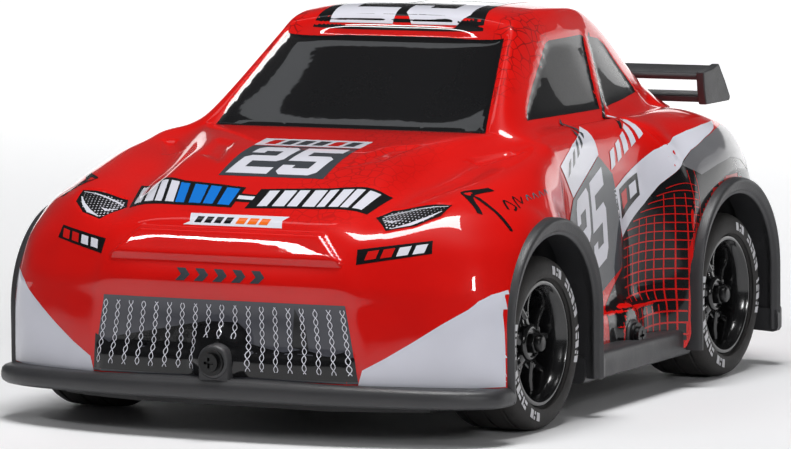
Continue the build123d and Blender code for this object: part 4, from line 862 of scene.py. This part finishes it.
def band_point(s, t):
    """A point of the bonnet band: s runs from the car's right to its left, t from the foot to the top."""
    ends = []
    for edge in (BAND_FOOT, BAND_TOP):
        place = s * (len(edge) - 1)
        k = min(int(place), len(edge) - 2)
        (a, b), (c, d) = edge[k], edge[k + 1]
        ends.append((a + (c - a) * (place - k), b + (d - b) * (place - k)))
    (a, b), (c, d) = ends
    return a + (c - a) * t, b + (d - b) * t


def band_patch(s0, s1, t0, t1):
    """The outline of a part of the bonnet band."""
    steps = max(2, int((s1 - s0) * 40))
    foot = [band_point(s0 + (s1 - s0) * k / steps, t0) for k in range(steps + 1)]
    top = [band_point(s1 - (s1 - s0) * k / steps, t1) for k in range(steps + 1)]
    return foot + top


def print_bonnet():
    """A band of sixteen bars, twelve white and four blue, and the number panel behind it."""
    printed("band_outline", BLACK, "top", LOW,
            [band_patch(0, 0.455, 0, 1), band_patch(0.45, 0.51, 0.3, 0.7), band_patch(0.505, 1, 0, 1)])
    bars = []
    for k in range(16):
        start = 0.02 + 0.0538 * k + (0.092 if k > 7 else 0)
        bars.append(band_patch(start, start + (0.044 if k % 2 else 0.036), 0.1, 0.9))
    dash = band_patch(0.452, 0.508, 0.42, 0.6)
    printed("band_blocks", WHITE, "top", MID, bars[:4] + bars[8:] + [dash])
    printed("band_blue", BLUE, "top", MID, bars[4:8])
    panel = [(-15.6, -70.6), (15.6, -70.6), (15.9, -50.2), (-15.9, -50.2)]
    strip = [(-15.9, -49.7), (15.9, -49.7), (16.1, -42.2), (-16.1, -42.2)]
    printed("bonnet_panel", SLATE, "top", LOW, [panel])
    printed("bonnet_strip", WHITE, "top", LOW, [strip])
    marks = row(TALL_SLANT, (-13.4, -48.4), (4.7, 0), 6)
    printed("bonnet_strip_dark", SLATE, "top", MID, marks[1:4] + marks[5:])
    printed("bonnet_strip_red", SIGNAL, "top", MID, [marks[0], marks[4]])
    printed("bonnet_digits", WHITE, "top", MID, number_25(12.2, 17.4, 1.8, 0.12, (-14.2, -69.2)))


STREAKS = [([(38.6, -80.8), (42, -78.6), (47, -76.8), (54.2, -74.6)], [0.3, 0.8, 0.6, 0.15]),
           ([(43.4, -86.2), (47.6, -83.8), (51.0, -80.6), (53.6, -77.0)], [0.3, 1.1, 0.8, 0.2]),
           ([(39.4, -82.8), (42.4, -83.6), (44.6, -82.4)], [0.3, 0.9, 0.2])]


def print_lamp(side, tag):
    """A dark lamp with halftone dots that shrink outwards and bright streaks, and the pill below it."""
    printed(f"lamp_{tag}", BLACK, "top", LOW, [on_side(HEADLIGHT, side)], 0.9)
    pitch = 1.05
    grid = np.array([(37.5 + pitch * a + 0.3 * b, -87 + pitch * b) for a in range(17) for b in range(13)])
    dots = []
    for (u, v), room in zip(grid, outline_distance(grid, HEADLIGHT)):
        r = 0.29 - 0.012 * (u - 38)
        if room > 0.75 and v + 80.5 - 0.35 * (u - 38) < 3.2:
            dots.append(on_side([(u - r, v - r), (u + r, v - r), (u + r, v + r), (u - r, v + r)], side))
    printed(f"lamp_dots_{tag}", WHITE, "top", MID, dots, 3)
    streaks = Print("top", HIGH, 1.5)
    for path, widths in STREAKS:
        streaks.ribbon(on_side(path, side), widths)
    streaks.make(f"lamp_streaks_{tag}", WHITE)
    printed(f"pill_{tag}", BLACK, "front", LOW,
            [on_side([(37.6, 46.6), (37.2, 50.4), (54.8, 52.6), (55.4, 49.4)], side)])
    blocks = [on_side(block, side) for block in row(PILL_SLANT, (39.4, 47.734), (3.8, 0.494), 4)]
    inner, outer = (SIGNAL, WHITE) if side > 0 else (WHITE, SIGNAL)
    printed(f"pill_a_{tag}", inner, "front", MID, blocks[:2])
    printed(f"pill_b_{tag}", outer, "front", MID, blocks[2:])


def grid_start(z):
    """Where the red grid of the side begins, at one height."""
    if z < 27:
        return 21.0
    return 19.8 + max(0.0, z - 44) * 1.42


def print_side_grid(view):
    """Red lines on the dark side, level ones that wave and upright ones that grow thin upwards."""
    lines = Print(view, MID, 2.0)
    for k in range(17):
        z = 14.8 + 3.3 * k - 0.045 * k * k
        start = grid_start(z)
        path = [(start + (46 - start) * m / 10, z + 1.2 * sin(m * 0.3) - 0.6) for m in range(11)]
        lines.ribbon(path, 0.52 - 0.02 * k)
    for k in range(10):
        y = 21.4 + 2.65 * k
        path = [(y + (z - 16) * 0.04, z) for z in (13.8, 20, 27, 34, 41, 48, 54, 60) if grid_start(z) < y]
        if len(path) > 1:
            lines.ribbon(path, [0.5 - 0.045 * m for m in range(len(path))])
    lines.make(f"side_grid_{view}", SIGNAL)


def print_side(side, view):
    """The dark rear quarter with its swoosh, and the door's panel, number, bars and blocks."""
    for name, material, lift, outline in (
        ("dark", BLACK, LOW,
         [(2, 13.5), (2, 24.2), (8, 27.4), (18.8, 35.0), (19, 43.5), (24, 47.4), (29.9, 51.7), (35.6, 56.8),
          (44.1, 62.4), (50, 65), (60, 67.4), (71, 69), (82, 69.6), (92, 66.8), (97, 60), (97.5, 40),
          (94.5, 36), (94.5, 13.5)]),
        # the haunch band is painted grey: partly print, partly a painted reflection under the swoosh
        ("haunch", HAUNCH_GREY_AND_SHEEN, MID,
         [(43, 61.6), (50, 65), (60, 67.4), (71, 69), (82, 69.6), (90, 67), (93, 60), (88, 56), (80, 60),
          (70, 61.6), (60, 60.4), (50, 58.4)]),
    ):
        printed(f"side_{name}_{view}", material, view, lift, [outline])
    print_side_grid(view)
    for name, material, lift, outline in (
        ("side_swoosh", WHITE, HIGH,
         [(14.2, 57.0), (23.6, 60.9), (35.7, 66.2), (46, 68.8), (54.8, 69.9), (66, 70.7), (77, 70.9),
          (71, 69.3), (60, 67.5), (50, 65.1), (44.1, 62.5), (35.6, 56.9), (29.9, 51.8), (24, 47.5),
          (18.9, 43.6)]),
        ("side_small_panel", BLACK, TOP, [(17.2, 56.8), (27.8, 60.6), (28.4, 54.4), (18.6, 48.6)]),
        ("side_small_red", SIGNAL, TOP + 0.05, [(18.4, 55.6), (21.8, 56.9), (22.2, 53.0), (19.4, 51.2)]),
        ("side_small_white", WHITE, TOP + 0.05, [(23.4, 57.4), (26.8, 58.7), (27.2, 55.2), (23.9, 53.6)]),
        ("door_diamond", WHITE, HIGH, [(-22.5, 66.6), (-8, 71.2), (7.6, 74.6), (6.6, 67.2), (-14.2, 57.4)]),
        ("door_panel", SLATE, HIGH,
         [(-14.4, 56.9), (6.4, 66.8), (13.8, 61.4), (17.4, 50), (18.6, 41), (18.4, 35.4), (5, 30),
          (-3, 26.4), (-12, 26.4), (-20, 38), (-19, 50)]),
    ):
        printed(f"{name}_{view}", material, view, lift, [outline])
    printed(f"door_marks_{view}", SLATE, view, TOP, row(DOOR_BAR, (-17.2, 63), (4.6, 2.2), 5))
    number = []
    for digit in number_25(8.6, 24.5, 1.4, 0.0, (0, 0)):
        placed = [(-9.6 + u * 1.05 - v * 0.12, 31.6 + v + u * 0.42) for u, v in digit]
        number.append(placed if side > 0 else [(3 - u, v) for u, v in placed])
    printed(f"door_digits_{view}", WHITE, view, TOP, number)
    printed(f"door_blocks_{view}", PALE, view, HIGH, row(DOOR_BLOCK, (13.4, 62.4), (4.6, 1.75), 5))
    groove = Print(view, LOW, 1.0)
    groove.ribbon([(26.6, 72.6), (35.2, 76.6), (46.6, 90), (49.2, 97.0)], [0.5, 1.3, 1.5, 1.0])
    groove.make(f"door_gap_{view}", BLACK)


FENDER_STROKES = [
    ([(-72.6, 58.6), (-68, 62.8), (-61.4, 63.9)], 0.75),
    ([(-67.4, 62.6), (-68.8, 58.4), (-69.4, 54.0)], [0.3] + [0.8] * 15 + [0.2]),
    ([(-64.6, 59.2), (-62.4, 61.2), (-61.4, 59.6), (-63.2, 58.8)], 0.4),
    ([(-60.4, 59.2), (-58.4, 61.8), (-57.4, 60.2), (-55.6, 61.6)], 0.38),
]


def print_fender(view):
    """A hand-drawn arrow and a row of small arcs behind the lamp."""
    strokes = Print(view, MID, 1.2)
    for path, width in FENDER_STROKES:
        strokes.ribbon(curve_points(path), width)
    strokes.make(f"fender_strokes_{view}", BLACK)
    dashes = Print(view, MID, 1.2)
    for arc in row([(0, 60.6), (1.1, 61.8), (2.2, 60.7)], (-54, 0), (3.3, 0.2), 4):
        dashes.ribbon(curve_points(arc), 0.32)
    dashes.make(f"fender_dashes_{view}", TEAL)


def print_tail():
    """Lamps, chevrons and a number panel on a dark band, and a barred panel between pale corners below."""
    printed("tail_band", BLACK, "rear", LOW, [[(-62, 56.5), (-58, 47.6), (-38, 45.6), (38, 45.6), (58, 47.6),
                                              (62, 56.5), (40, 57.4), (-40, 57.4)]])
    lamps = []
    for k in range(4):
        left, foot = 40.6 + 4.6 * k, 48.2 + 0.2 * k
        lamps.append([(left, foot), (left + 1.6, 55.0), (left + 5.0, 55.0), (left + 3.4, foot)])
    chevrons = row(TAIL_CHEVRON, (18.6, 49), (5.4, 0), 3)
    printed("tail_lamps", SIGNAL, "rear", MID, [on_side(lamp, side) for side in SIDES for lamp in lamps])
    printed("tail_chevrons", WHITE, "rear", MID, [on_side(mark, side) for side in SIDES for mark in chevrons])
    printed("tail_panel", SLATE, "rear", HIGH, [[(-15.6, 42.4), (15.6, 42.4), (17.2, 60.2), (-17.2, 60.2)]])
    printed("tail_digits", WHITE, "rear", HIGH + 0.06,
            [flipped(digit) for digit in number_25(11.6, 13.6, 1.8, 0.0, (-12.5, 44.6))])
    printed("tail_lower", GREY, "rear", LOW, [[(-44, 16), (44, 16), (39.6, 35), (-39.6, 35)]])
    bars = []
    for k in range(17):
        foot = -36 + 4.5 * k
        top = foot * 0.94
        if abs(foot) > 7:
            bars.append([(foot - 0.9, 17.6), (foot + 0.9, 17.6), (top + 0.9, 33.4), (top - 0.9, 33.4)])
    printed("tail_bars", BLACK, "rear", MID, bars)
    corner = [(44.6, 15), (43.4, 20.4), (52, 26), (60.5, 32), (68.5, 36.4), (68.5, 15)]
    for side, name in SIDE_VIEWS:
        printed(f"tail_corner_{name}", PALE, "rear", MID, [on_side(corner, side)])


print_windows_and_roof()
print_grille()
print_nose()
print_bonnet()
for side, name in SIDE_VIEWS:
    print_lamp(side, name)
for side, name in SIDE_VIEWS:
    print_side(side, name)
    print_fender(name)
print_tail()


# ---------------------------------------------------------------- skirt
def sweep_edge(solid, points, section, parts=6):
    """Carries a section, given as (outwards, height), along a path in plan.

    A height is a number or a function of the distance from the car's middle line.
    """
    path = curve_points(points, parts)
    loops = []
    for k, (x, y) in enumerate(path):
        before, after = path[max(0, k - 1)], path[min(len(path) - 1, k + 1)]
        dx, dy = after[0] - before[0], after[1] - before[1]
        size = hypot(dx, dy) or 1.0
        loop = []
        for out, height in section:
            z = height(abs(x)) if callable(height) else height
            loop.append((x - dy / size * out, y + dx / size * out, z))
        loops.append(loop)
    solid.loft(loops)


def level(middle, corner):
    """A height that runs from one value at the middle of the car to another at its corners."""
    return lambda x: middle + (corner - middle) * (x / 75) ** 1.5


LIP_HALF = [(75, -77.8), (75, -81.5), (73.9, -86.4), (70, -90.8), (63.5, -94.8), (55, -98), (43, -101),
            (30, -103.2), (15, -104.2)]
LIP = LIP_HALF + [(0, -104.5)] + flipped(LIP_HALF[::-1])
LIP_SECTION = [(-9.5, level(10.9, 10.2)), (-2.6, level(10.4, 9.8)), (-1.2, level(10.6, 9.9)),
               (-0.35, level(11.3, 10.5)), (0, level(12.3, 11.3)), (0, level(14.0, 12.6)),
               (-0.3, level(15.2, 13.7)), (-1.0, level(16.0, 14.4)), (-2.2, level(16.4, 14.8)),
               (-3.4, level(16.2, 14.7)), (-9.5, level(16.6, 15.2))]
TAIL_HALF = [(75, 94), (74.6, 97.6), (71, 101), (64, 103), (55, 103.9), (30, 104.3)]
TAIL = TAIL_HALF + [(0, 104.4)] + flipped(TAIL_HALF[::-1])
TAIL_SECTION = [(-8, 10.2), (-1.6, 9.8), (-0.5, 10.1), (0, 11), (0, 14.8), (-0.4, 15.8), (-1.4, 16.4),
                (-8, 16.6)]
SILL_SECTION = [(-6, 9.2), (-1.4, 9.0), (-0.5, 9.3), (0, 10.2), (0, 15.2), (-0.4, 16.1), (-1.3, 16.5),
                (-6, 16.7)]
FLARE_OUT, FLARE_IN, FLARE_FOOT = (28.1, 27.1), (24.8, 22.5), 10.6
# each point's share of the way from the outer to the inner arch, and its x
FLARE_SECTION = [(0.0, 63.6), (0.0, 68.5), (0.0, 72.6), (0.03, 73.9), (0.10, 74.7), (0.20, 75.0),
                 (0.34, 74.9), (0.52, 74.55), (0.68, 74.5), (0.76, 74.2), (0.80, 73.9), (0.88, 73.7),
                 (0.96, 73.6), (1.0, 73.3), (0.98, 72.9), (0.48, 72.7), (0.45, 63.6)]
NOSE_BOSS_Z = 20.6
SIDE_BOSS = (14, 17.5)


def arch_line(centre, reach):
    """One edge of a flare: up the front leg, over the arch and down the rear leg."""
    leg = np.linspace(FLARE_FOOT, ARCH_Z, 7)
    front = [(centre - reach[0], z) for z in leg[:-1]]
    top = [(centre + reach[0] * cos(t), ARCH_Z + reach[1] * sin(t)) for t in np.linspace(pi, 0, 41)]
    rear = [(centre + reach[0], z) for z in np.linspace(ARCH_Z, FLARE_FOOT, 7)[1:]]
    return front + top + rear


def flare(solid, side, centre):
    """The flare round one wheel arch."""
    loops = []
    for outer, inner in zip(arch_line(centre, FLARE_OUT), arch_line(centre, FLARE_IN)):
        loops.append([(side * x, outer[0] + (inner[0] - outer[0]) * s, outer[1] + (inner[1] - outer[1]) * s)
                      for s, x in FLARE_SECTION])
    solid.loft(loops)


def arch_liner(solid, side, centre):
    """A thin arch over the tyre, and a wall from its inner edge down to the chassis."""
    near_x, far_x, wall_foot = 64.5, 44.2, 39.2
    lines = []
    for x, k in ((near_x, 0.985), (far_x, 0.97)):
        lines.append([(side * x, centre + FLARE_OUT[0] * k * cos(t), ARCH_Z + FLARE_OUT[1] * k * sin(t))
                      for t in np.linspace(0.38, pi - 0.38, 25)])
    lines.append([(side * far_x, y, wall_foot) for _, y, _ in lines[1]])
    solid.sheet(lines)


def rounded_block(solid, x, y, z, r=0.7):
    """A block with rounded edges."""
    corners = [(y[0], z[0], 180), (y[1], z[0], 270), (y[1], z[1], 0), (y[0], z[1], 90)]
    loop = []
    for cy, cz, turn in corners:
        my = cy + (r if cy == y[0] else -r)
        mz = cz + (r if cz == z[0] else -r)
        loop += [(my + r * cos(radians(turn + a)), mz + r * sin(radians(turn + a))) for a in (0, 30, 60, 90)]
    outline = np.array(loop)
    centre = outline.mean(0)
    inset = centre + (outline - centre) * (1 - 2 * r / (y[1] - y[0] + z[1] - z[0]))
    low, high = min(x), max(x)
    rings = ((low, inset), (low + r * 0.5, outline), (high - r * 0.5, outline), (high, inset))
    solid.loft([[(at, a, b) for a, b in ring] for at, ring in rings])


def side_boss(solid, side):
    """The tab on the sill that the side screw sits in."""
    y0, z0 = SIDE_BOSS
    tab = [(y0 + 4.4 * cos(t), z0 + 4.4 * sin(t)) for t in np.linspace(0, pi, 17)]
    tab += [(y0 - 4.3, 14), (y0 - 4.1, 12.4), (y0 + 4.1, 12.4), (y0 + 4.3, 14)]
    solid.loft([[(side * x, y0 + (y - y0) * k, 15 + (z - 15) * k) for y, z in tab]
                for x, k in ((63, 1), (66.4, 1), (66.9, 0.94))])


def end_boss(solid, end):
    """The round boss at the nose (-1) or tail (1) that an end screw sits in, and its foot."""
    solid.loft([[(r * cos(t), end * y, NOSE_BOSS_Z + r * sin(t)) for t in np.linspace(0, 2 * pi, 33)[:-1]]
                for y, r in ((94, 4.9), (102.6, 4.6), (103.6, 4.4), (104.0, 3.9))])
    foot = ((-4.6, 14), (4.6, 14), (4.5, NOSE_BOSS_Z), (-4.5, NOSE_BOSS_Z))
    solid.loft([[(x * k, end * y, z) for x, z in foot] for y, k in ((95, 1), (103, 1), (103.6, 0.9))])


def build_skirt():
    skirt = Solid()
    sweep_edge(skirt, LIP, LIP_SECTION)
    sweep_edge(skirt, TAIL[::-1], TAIL_SECTION)
    for side in SIDES:
        sill = [(side * 70.3, y) for y in np.linspace(-26, 43.5, 12)]
        sweep_edge(skirt, sill[::-1] if side > 0 else sill, SILL_SECTION, 2)
        for centre in ARCH_YS:
            flare(skirt, side, centre)
        rounded_block(skirt, (side * 68, side * 74.4), (-25, -21.6), (10.3, 16.4))
        rounded_block(skirt, (side * 66, side * 74.4), (95, 98.4), (10.3, 17.0))
        side_boss(skirt, side)
    for end in (-1, 1):
        end_boss(skirt, end)
    for side in SIDES:
        for centre in ARCH_YS:
            arch_liner(skirt, side, centre)
    skirt.make("skirt", TRIM, "chassis", "trim_matte", sharp=50, replaces="skirt_frame")


build_skirt()


# ---------------------------------------------------------------- rear wing
def extruded(solid, outline, low, high):
    """Extrudes an outline in the (y, z) plane across the car."""
    solid.loft([[(x, y, z) for y, z in outline] for x in (low, high)])


UPPER_BLADE = [(84.2, 81.6), (84.0, 82.8), (84.6, 83.6), (90, 84.2), (94.4, 85.2), (95.2, 84.8), (95.4, 83.9),
               (90.4, 82.1)]
LOWER_BLADE = [(86, 75.2), (86, 77.0), (88, 77.3), (100.2, 77.3), (101.6, 75.2)]
END_PLATE = [(85.2, 74.6), (84, 79), (83.4, 84), (90, 84.6), (94.4, 85.7), (98.8, 80.6), (102.4, 75.8),
             (101.8, 74.6)]
POST = [(93, 66), (93, 75.4), (99, 75.4), (99, 66)]
PYLON = [(88, 77), (87.5, 82.4), (91.5, 82.8), (92.5, 77)]


def build_wing():
    blades = Solid()
    for outline in (UPPER_BLADE, LOWER_BLADE):
        extruded(blades, outline, -55.2, 55.2)
    for side in SIDES:
        extruded(blades, END_PLATE, side * 54.5, side * 57)
        extruded(blades, POST, side * 30 - 3.5, side * 30 + 3.5)
        extruded(blades, PYLON, side * 30 - 2.2, side * 30 + 2.2)
    wing = blades.make("wing", TRIM, "chassis", "trim_matte", replaces="rear_wing")
    bevelled(wing, 0.5, 3, 25)


build_wing()


# ---------------------------------------------------------------- wheels
def turned(solid, profile, centre, side, steps):
    """Turns a closed profile of (x, radius) about a wheel's axle."""
    loops = []
    for k in range(steps):
        t = 2 * pi * k / steps
        loops.append([(side * x, centre + r * cos(t), AXLE_Z + r * sin(t)) for x, r in profile])
    solid.loft(loops, around=True)


TYRE = [(52, 15.4), (50.9, 15.6), (50.5, 17.4), (50.6, 19.6), (51.0, 21.0), (51.8, 22.1), (53.2, 22.75),
        (54.9, 22.9), (55.1, 22.5), (55.7, 22.5), (55.9, 22.95), (60.6, 23.0), (60.8, 22.6), (61.4, 22.6),
        (61.6, 23.0), (66.3, 22.95), (66.5, 22.5), (67.1, 22.5), (67.3, 22.9), (68.8, 22.75), (70.2, 22.1),
        (71.0, 21.0), (71.4, 19.6), (71.45, 18.2), (71.1, 17.3), (70.9, 17.25), (70.5, 17.6), (70.1, 17.3),
        (69.6, 16.5), (69.3, 15.4)]
BARREL = [(51.3, 13.6), (50.9, 14.2), (51.3, 15.6), (69.2, 15.7), (69.7, 16.5), (70.1, 16.6), (70.4, 16.2),
          (70.3, 15.5), (69.7, 15.1), (69.1, 14.9), (68.4, 14.2), (66.5, 13.9), (56, 13.6)]
HUB = [(56, 1.6), (56, 3.9), (63.4, 4.4), (65.6, 4.9), (66.9, 4.8), (67.5, 4.4), (67.6, 3.9), (66.9, 3.6),
       (66.7, 1.6)]
# the cap nut along the axle: x, size, and how far it is rounded from a hexagon to a circle
CAP_NUT = [(66.6, 1, 0), (68.6, 1, 0), (68.9, 0.93, 0.3), (69.0, 0.84, 1), (70.2, 0.8, 1), (70.6, 0.66, 1),
           (70.75, 0.4, 1), (70.8, 0.1, 1)]
NUT_CORNER_R, NUT_ROUND_R = 2.9, 2.75
SPOKE_PAIRS = 5


def bar(solid, centre, side, start, finish, widths, tops, depth):
    """A rounded bar between two points, each (radius, angle), on the face of a wheel."""
    p, q = (np.array((r * cos(a), r * sin(a))) for r, a in (start, finish))
    along = (q - p) / np.linalg.norm(q - p)
    normal = np.array((-along[1], along[0]))
    loops = []
    for k in range(6):
        t = k / 5
        half_width = (widths[0] + (widths[1] - widths[0]) * t) / 2
        top = tops[0] + (tops[1] - tops[0]) * t - 0.5 * sin(pi * t)
        loop = []
        for across, x in ((-1, top - depth), (-1, top - 0.7), (-0.72, top - 0.15), (-0.3, top), (0.3, top),
                          (0.72, top - 0.15), (1, top - 0.7), (1, top - depth)):
            at = p + (q - p) * t + normal * half_width * across
            loop.append((side * x, centre + at[0], AXLE_Z + at[1]))
        loops.append(loop)
    solid.loft(loops)


def wall_patch(solid, centre, side, start, wide, low, high, lean):
    """A pale patch on a tyre's outer side wall, from one angle on and between two radii."""
    lines = []
    for t in np.linspace(0, 1, 3):
        line = []
        for r in (low, (low + high) / 2, high):
            wall_x = 71.47 - max(0.0, r - 18.9) ** 2 * 0.055
            turn = start + wide * t + lean * (r - low) / (high - low)
            line.append((side * (wall_x + 0.05), centre + r * cos(turn), AXLE_Z + r * sin(turn)))
        lines.append(line)
    solid.sheet(lines)


def tyre_marks(solid, centre, side):
    """Blocks and pairs of dashes in two arcs round the outer side wall."""
    unit = radians(2.6)
    for half_turn in (0, pi):
        at = radians(-22) + half_turn
        for group in (5, 6, 3):
            for k in range(group):
                wide = unit * (2.0 if k % 3 != 1 else 1.0)
                if k % 2 == 0:
                    wall_patch(solid, centre, side, at, wide, 18.3, 20.5, 0.03)
                else:
                    wall_patch(solid, centre, side, at, wide, 18.3, 19.1, 0.01)
                    wall_patch(solid, centre, side, at, wide, 19.7, 20.5, 0.01)
                at += wide + unit * 0.75
            at += unit * 2.6


def rim_face(solid, centre, side):
    """The barrel, the hub and five pairs of spokes with short webs between the pairs."""
    turned(solid, BARREL, centre, side, WHEEL_STEPS)
    turned(solid, HUB, centre, side, 48)
    for k in range(SPOKE_PAIRS):
        middle = radians(90 + 360 / SPOKE_PAIRS * k)
        bar(solid, centre, side, (3.6, middle), (8.2, middle), (4.0, 3.0), (67.2, 66.0), 3.2)
        for lean in (-1, 1):
            bar(solid, centre, side, (6.6, middle + lean * 0.06), (14.3, middle + lean * radians(17)),
                (2.1, 1.9), (66.3, 65.6), 2.6)
            bar(solid, centre, side, (4.2, middle + lean * radians(36)), (7.4, middle + lean * 0.2),
                (2.2, 1.6), (65.6, 65.2), 2.2)


def cap_nut(solid, centre, side):
    hexagon = [(NUT_CORNER_R * cos(radians(60 * k)), NUT_CORNER_R * sin(radians(60 * k))) for k in range(6)]
    ring = []
    for (a, b), (c, d) in zip(hexagon, hexagon[1:] + hexagon[:1]):
        ring += [(a + (c - a) * t, b + (d - b) * t) for t in (0.04, 0.35, 0.65, 0.96)]
    loops = []
    for x, size, blend in CAP_NUT:
        loop = []
        for a, b in ring:
            r = hypot(a, b)
            r = (r + (NUT_ROUND_R - r) * blend) * size
            t = atan2(b, a)
            loop.append((side * x, centre + r * cos(t), AXLE_Z + r * sin(t)))
        loops.append(loop)
    solid.loft(loops)


# name, axle, side, the wheel's body and the body of its nut
WHEELS = [("front_left", FRONT_Y, 1, "front_left_wheel", "steer_left_body"),
          ("front_right", FRONT_Y, -1, "front_right_wheel", "steer_right_body"),
          ("rear_left", REAR_Y, 1, "rear_axle_body", "rear_axle_body"),
          ("rear_right", REAR_Y, -1, "rear_axle_body", "rear_axle_body")]
WHEEL_STEPS = 120


def build_wheels():
    for where, centre, side, wheel_body, nut_body in WHEELS:
        tyre, marks, rim, nut = Solid(), Solid(), Solid(), Solid()
        turned(tyre, TYRE, centre, side, WHEEL_STEPS)
        tyre.make(f"tyre_skin_{where}", RUBBER, wheel_body, "tyre_rubber", 48, f"tyre_{where}")
        tyre_marks(marks, centre, side)
        marks.make(f"tyre_marks_{where}", MARK, wheel_body, "tyre_rubber")
        rim_face(rim, centre, side)
        rim.make(f"rim_face_{where}", RIM, wheel_body, "rim_gloss", 48, f"rim_{where}")
        cap_nut(nut, centre, side)
        nut.make(f"cap_nut_{where}", SCREW, nut_body, "screw_black", 40, f"wheel_nut_{where}")


build_wheels()


# ---------------------------------------------------------------- stage, light and camera
def added(made):
    bpy.context.scene.collection.objects.link(made)
    return made


def build_camera():
    """A long lens in front of the car's left corner, aimed at the middle of the car."""
    azimuth, elevation, roll = radians(26.76), radians(5.859), radians(-0.515)
    distance, frame_width, focal_length = 1616.4, 791, 5888
    back = Vector((sin(azimuth) * cos(elevation), -cos(azimuth) * cos(elevation), sin(elevation)))
    level_right = Vector((cos(azimuth), sin(azimuth), 0))
    level_up = back.cross(level_right)
    right = level_right * cos(roll) + level_up * sin(roll)
    up = level_right * -sin(roll) + level_up * cos(roll)
    place = (Vector((1.20, 0.0, 46.63)) + back * distance) * MM
    data = bpy.data.cameras.new("camera")
    data.sensor_width = 36
    data.lens = data.sensor_width * focal_length / frame_width
    data.clip_start, data.clip_end = 0.05, 40
    camera = added(bpy.data.objects.new("camera", data))
    camera.matrix_world = Matrix.Translation(place) @ Matrix((right, up, back)).transposed().to_4x4()
    bpy.context.scene.camera = camera


def area_light(name, place, size, power):
    """A rectangular light that points at the car."""
    data = bpy.data.lights.new(name, "AREA")
    data.shape = "RECTANGLE"
    data.size, data.size_y = size
    data.energy = power
    made = added(bpy.data.objects.new(name, data))
    made.location = place
    made.rotation_euler = (Vector((0, 0, 0.05)) - Vector(place)).to_track_quat("-Z", "Y").to_euler()


def stage_piece(name, points, faces, material):
    """A part of the surroundings, in metres."""
    mesh = bpy.data.meshes.new(name)
    mesh.from_pydata(points, [], faces)
    mesh.materials.append(material)
    added(bpy.data.objects.new(name, mesh))


def build_floor():
    """A pale floor that brightens behind the car."""
    n = Nodes("floor_pale")
    behind = n.add("VectorMath", {0: n.where, 1: (-0.2, 0.98, 0.0)}, operation="DOT_PRODUCT").outputs["Value"]
    tone = n.mix(n.ramp(n.noise(3, 2), 0.3, 0.7), rgb(240, 240, 242), rgb(246, 246, 247))
    n.shader(Base_Color=tone, Roughness=0.6, Emission_Color=(1, 1, 1, 1),
             Emission_Strength=n.ramp(behind, 0.1, 1.0, 0.0, 0.8))
    stage_piece("floor", [(-9, -9, 0), (9, -9, 0), (9, 9, 0), (-9, 9, 0)], [(0, 1, 2, 3)], n.material)


def build_card():
    """A dim bowed strip overhead, for the reflection along the windscreen's edge."""
    n = Nodes("card_dim")
    n.shader(Base_Color=(0.5, 0.5, 0.5, 1), Roughness=0.8, Emission_Color=(0.9, 0.95, 1, 1),
             Emission_Strength=n.ramp(n.noise(1.5, 2), 0.2, 0.8, 0.7, 1.1))
    points = []
    for k in range(13):
        x, bow, wide = -1.05 + 0.05 * k, 0.07 * sin(pi * k / 6), 0.045 + 0.03 * sin(pi * k / 12)
        middle = 0.62 * (x + 0.73) + 0.08 + bow
        points += [(x, middle + side * wide, 1.45) for side in SIDES]
    faces = [(2 * k, 2 * k + 1, 2 * k + 3, 2 * k + 2) for k in range(12)]
    stage_piece("card", points, faces, n.material)


def build_wall():
    """A pale glowing wall round the back, higher towards the car's left."""
    n = Nodes("wall_pale")
    height = n.add("SeparateXYZ", {"Vector": n.where}).outputs[2]
    n.shader(Base_Color=(0.9, 0.9, 0.9, 1), Roughness=0.7, Emission_Color=(1, 1, 1, 1),
             Emission_Strength=n.ramp(height, 0.9, 1.2, 0.95, 0.3))
    steps, high_steps, radius = 40, 16, 4
    points = []
    for k in range(steps + 1):
        turn = radians(38 + 95 * k / steps)
        for z in (-0.2, 1.4 if k < high_steps else 1.0):
            points.append((radius * cos(turn), radius * sin(turn), z))
    faces = [(2 * k, 2 * k + 2, 2 * k + 3, 2 * k + 1) for k in range(steps)]
    stage_piece("wall", points, faces, n.material)


build_camera()
build_floor()
build_wall()
build_card()
world = bpy.data.worlds.new("world")
world.use_nodes = True
background = world.node_tree.nodes["Background"]
background.inputs["Color"].default_value = (0.95, 0.97, 1.0, 1.0)
background.inputs["Strength"].default_value = 0.06
bpy.context.scene.world = world
bpy.context.scene.view_settings.view_transform = "Standard"
area_light("top_box", (0.1, -0.15, 1.1), (0.5, 0.36), 11)
area_light("left_box", (0.95, -0.85, 0.55), (0.1, 0.28), 2.6)
area_light("right_box", (-0.55, -0.95, 0.95), (0.6, 0.028), 1.9)
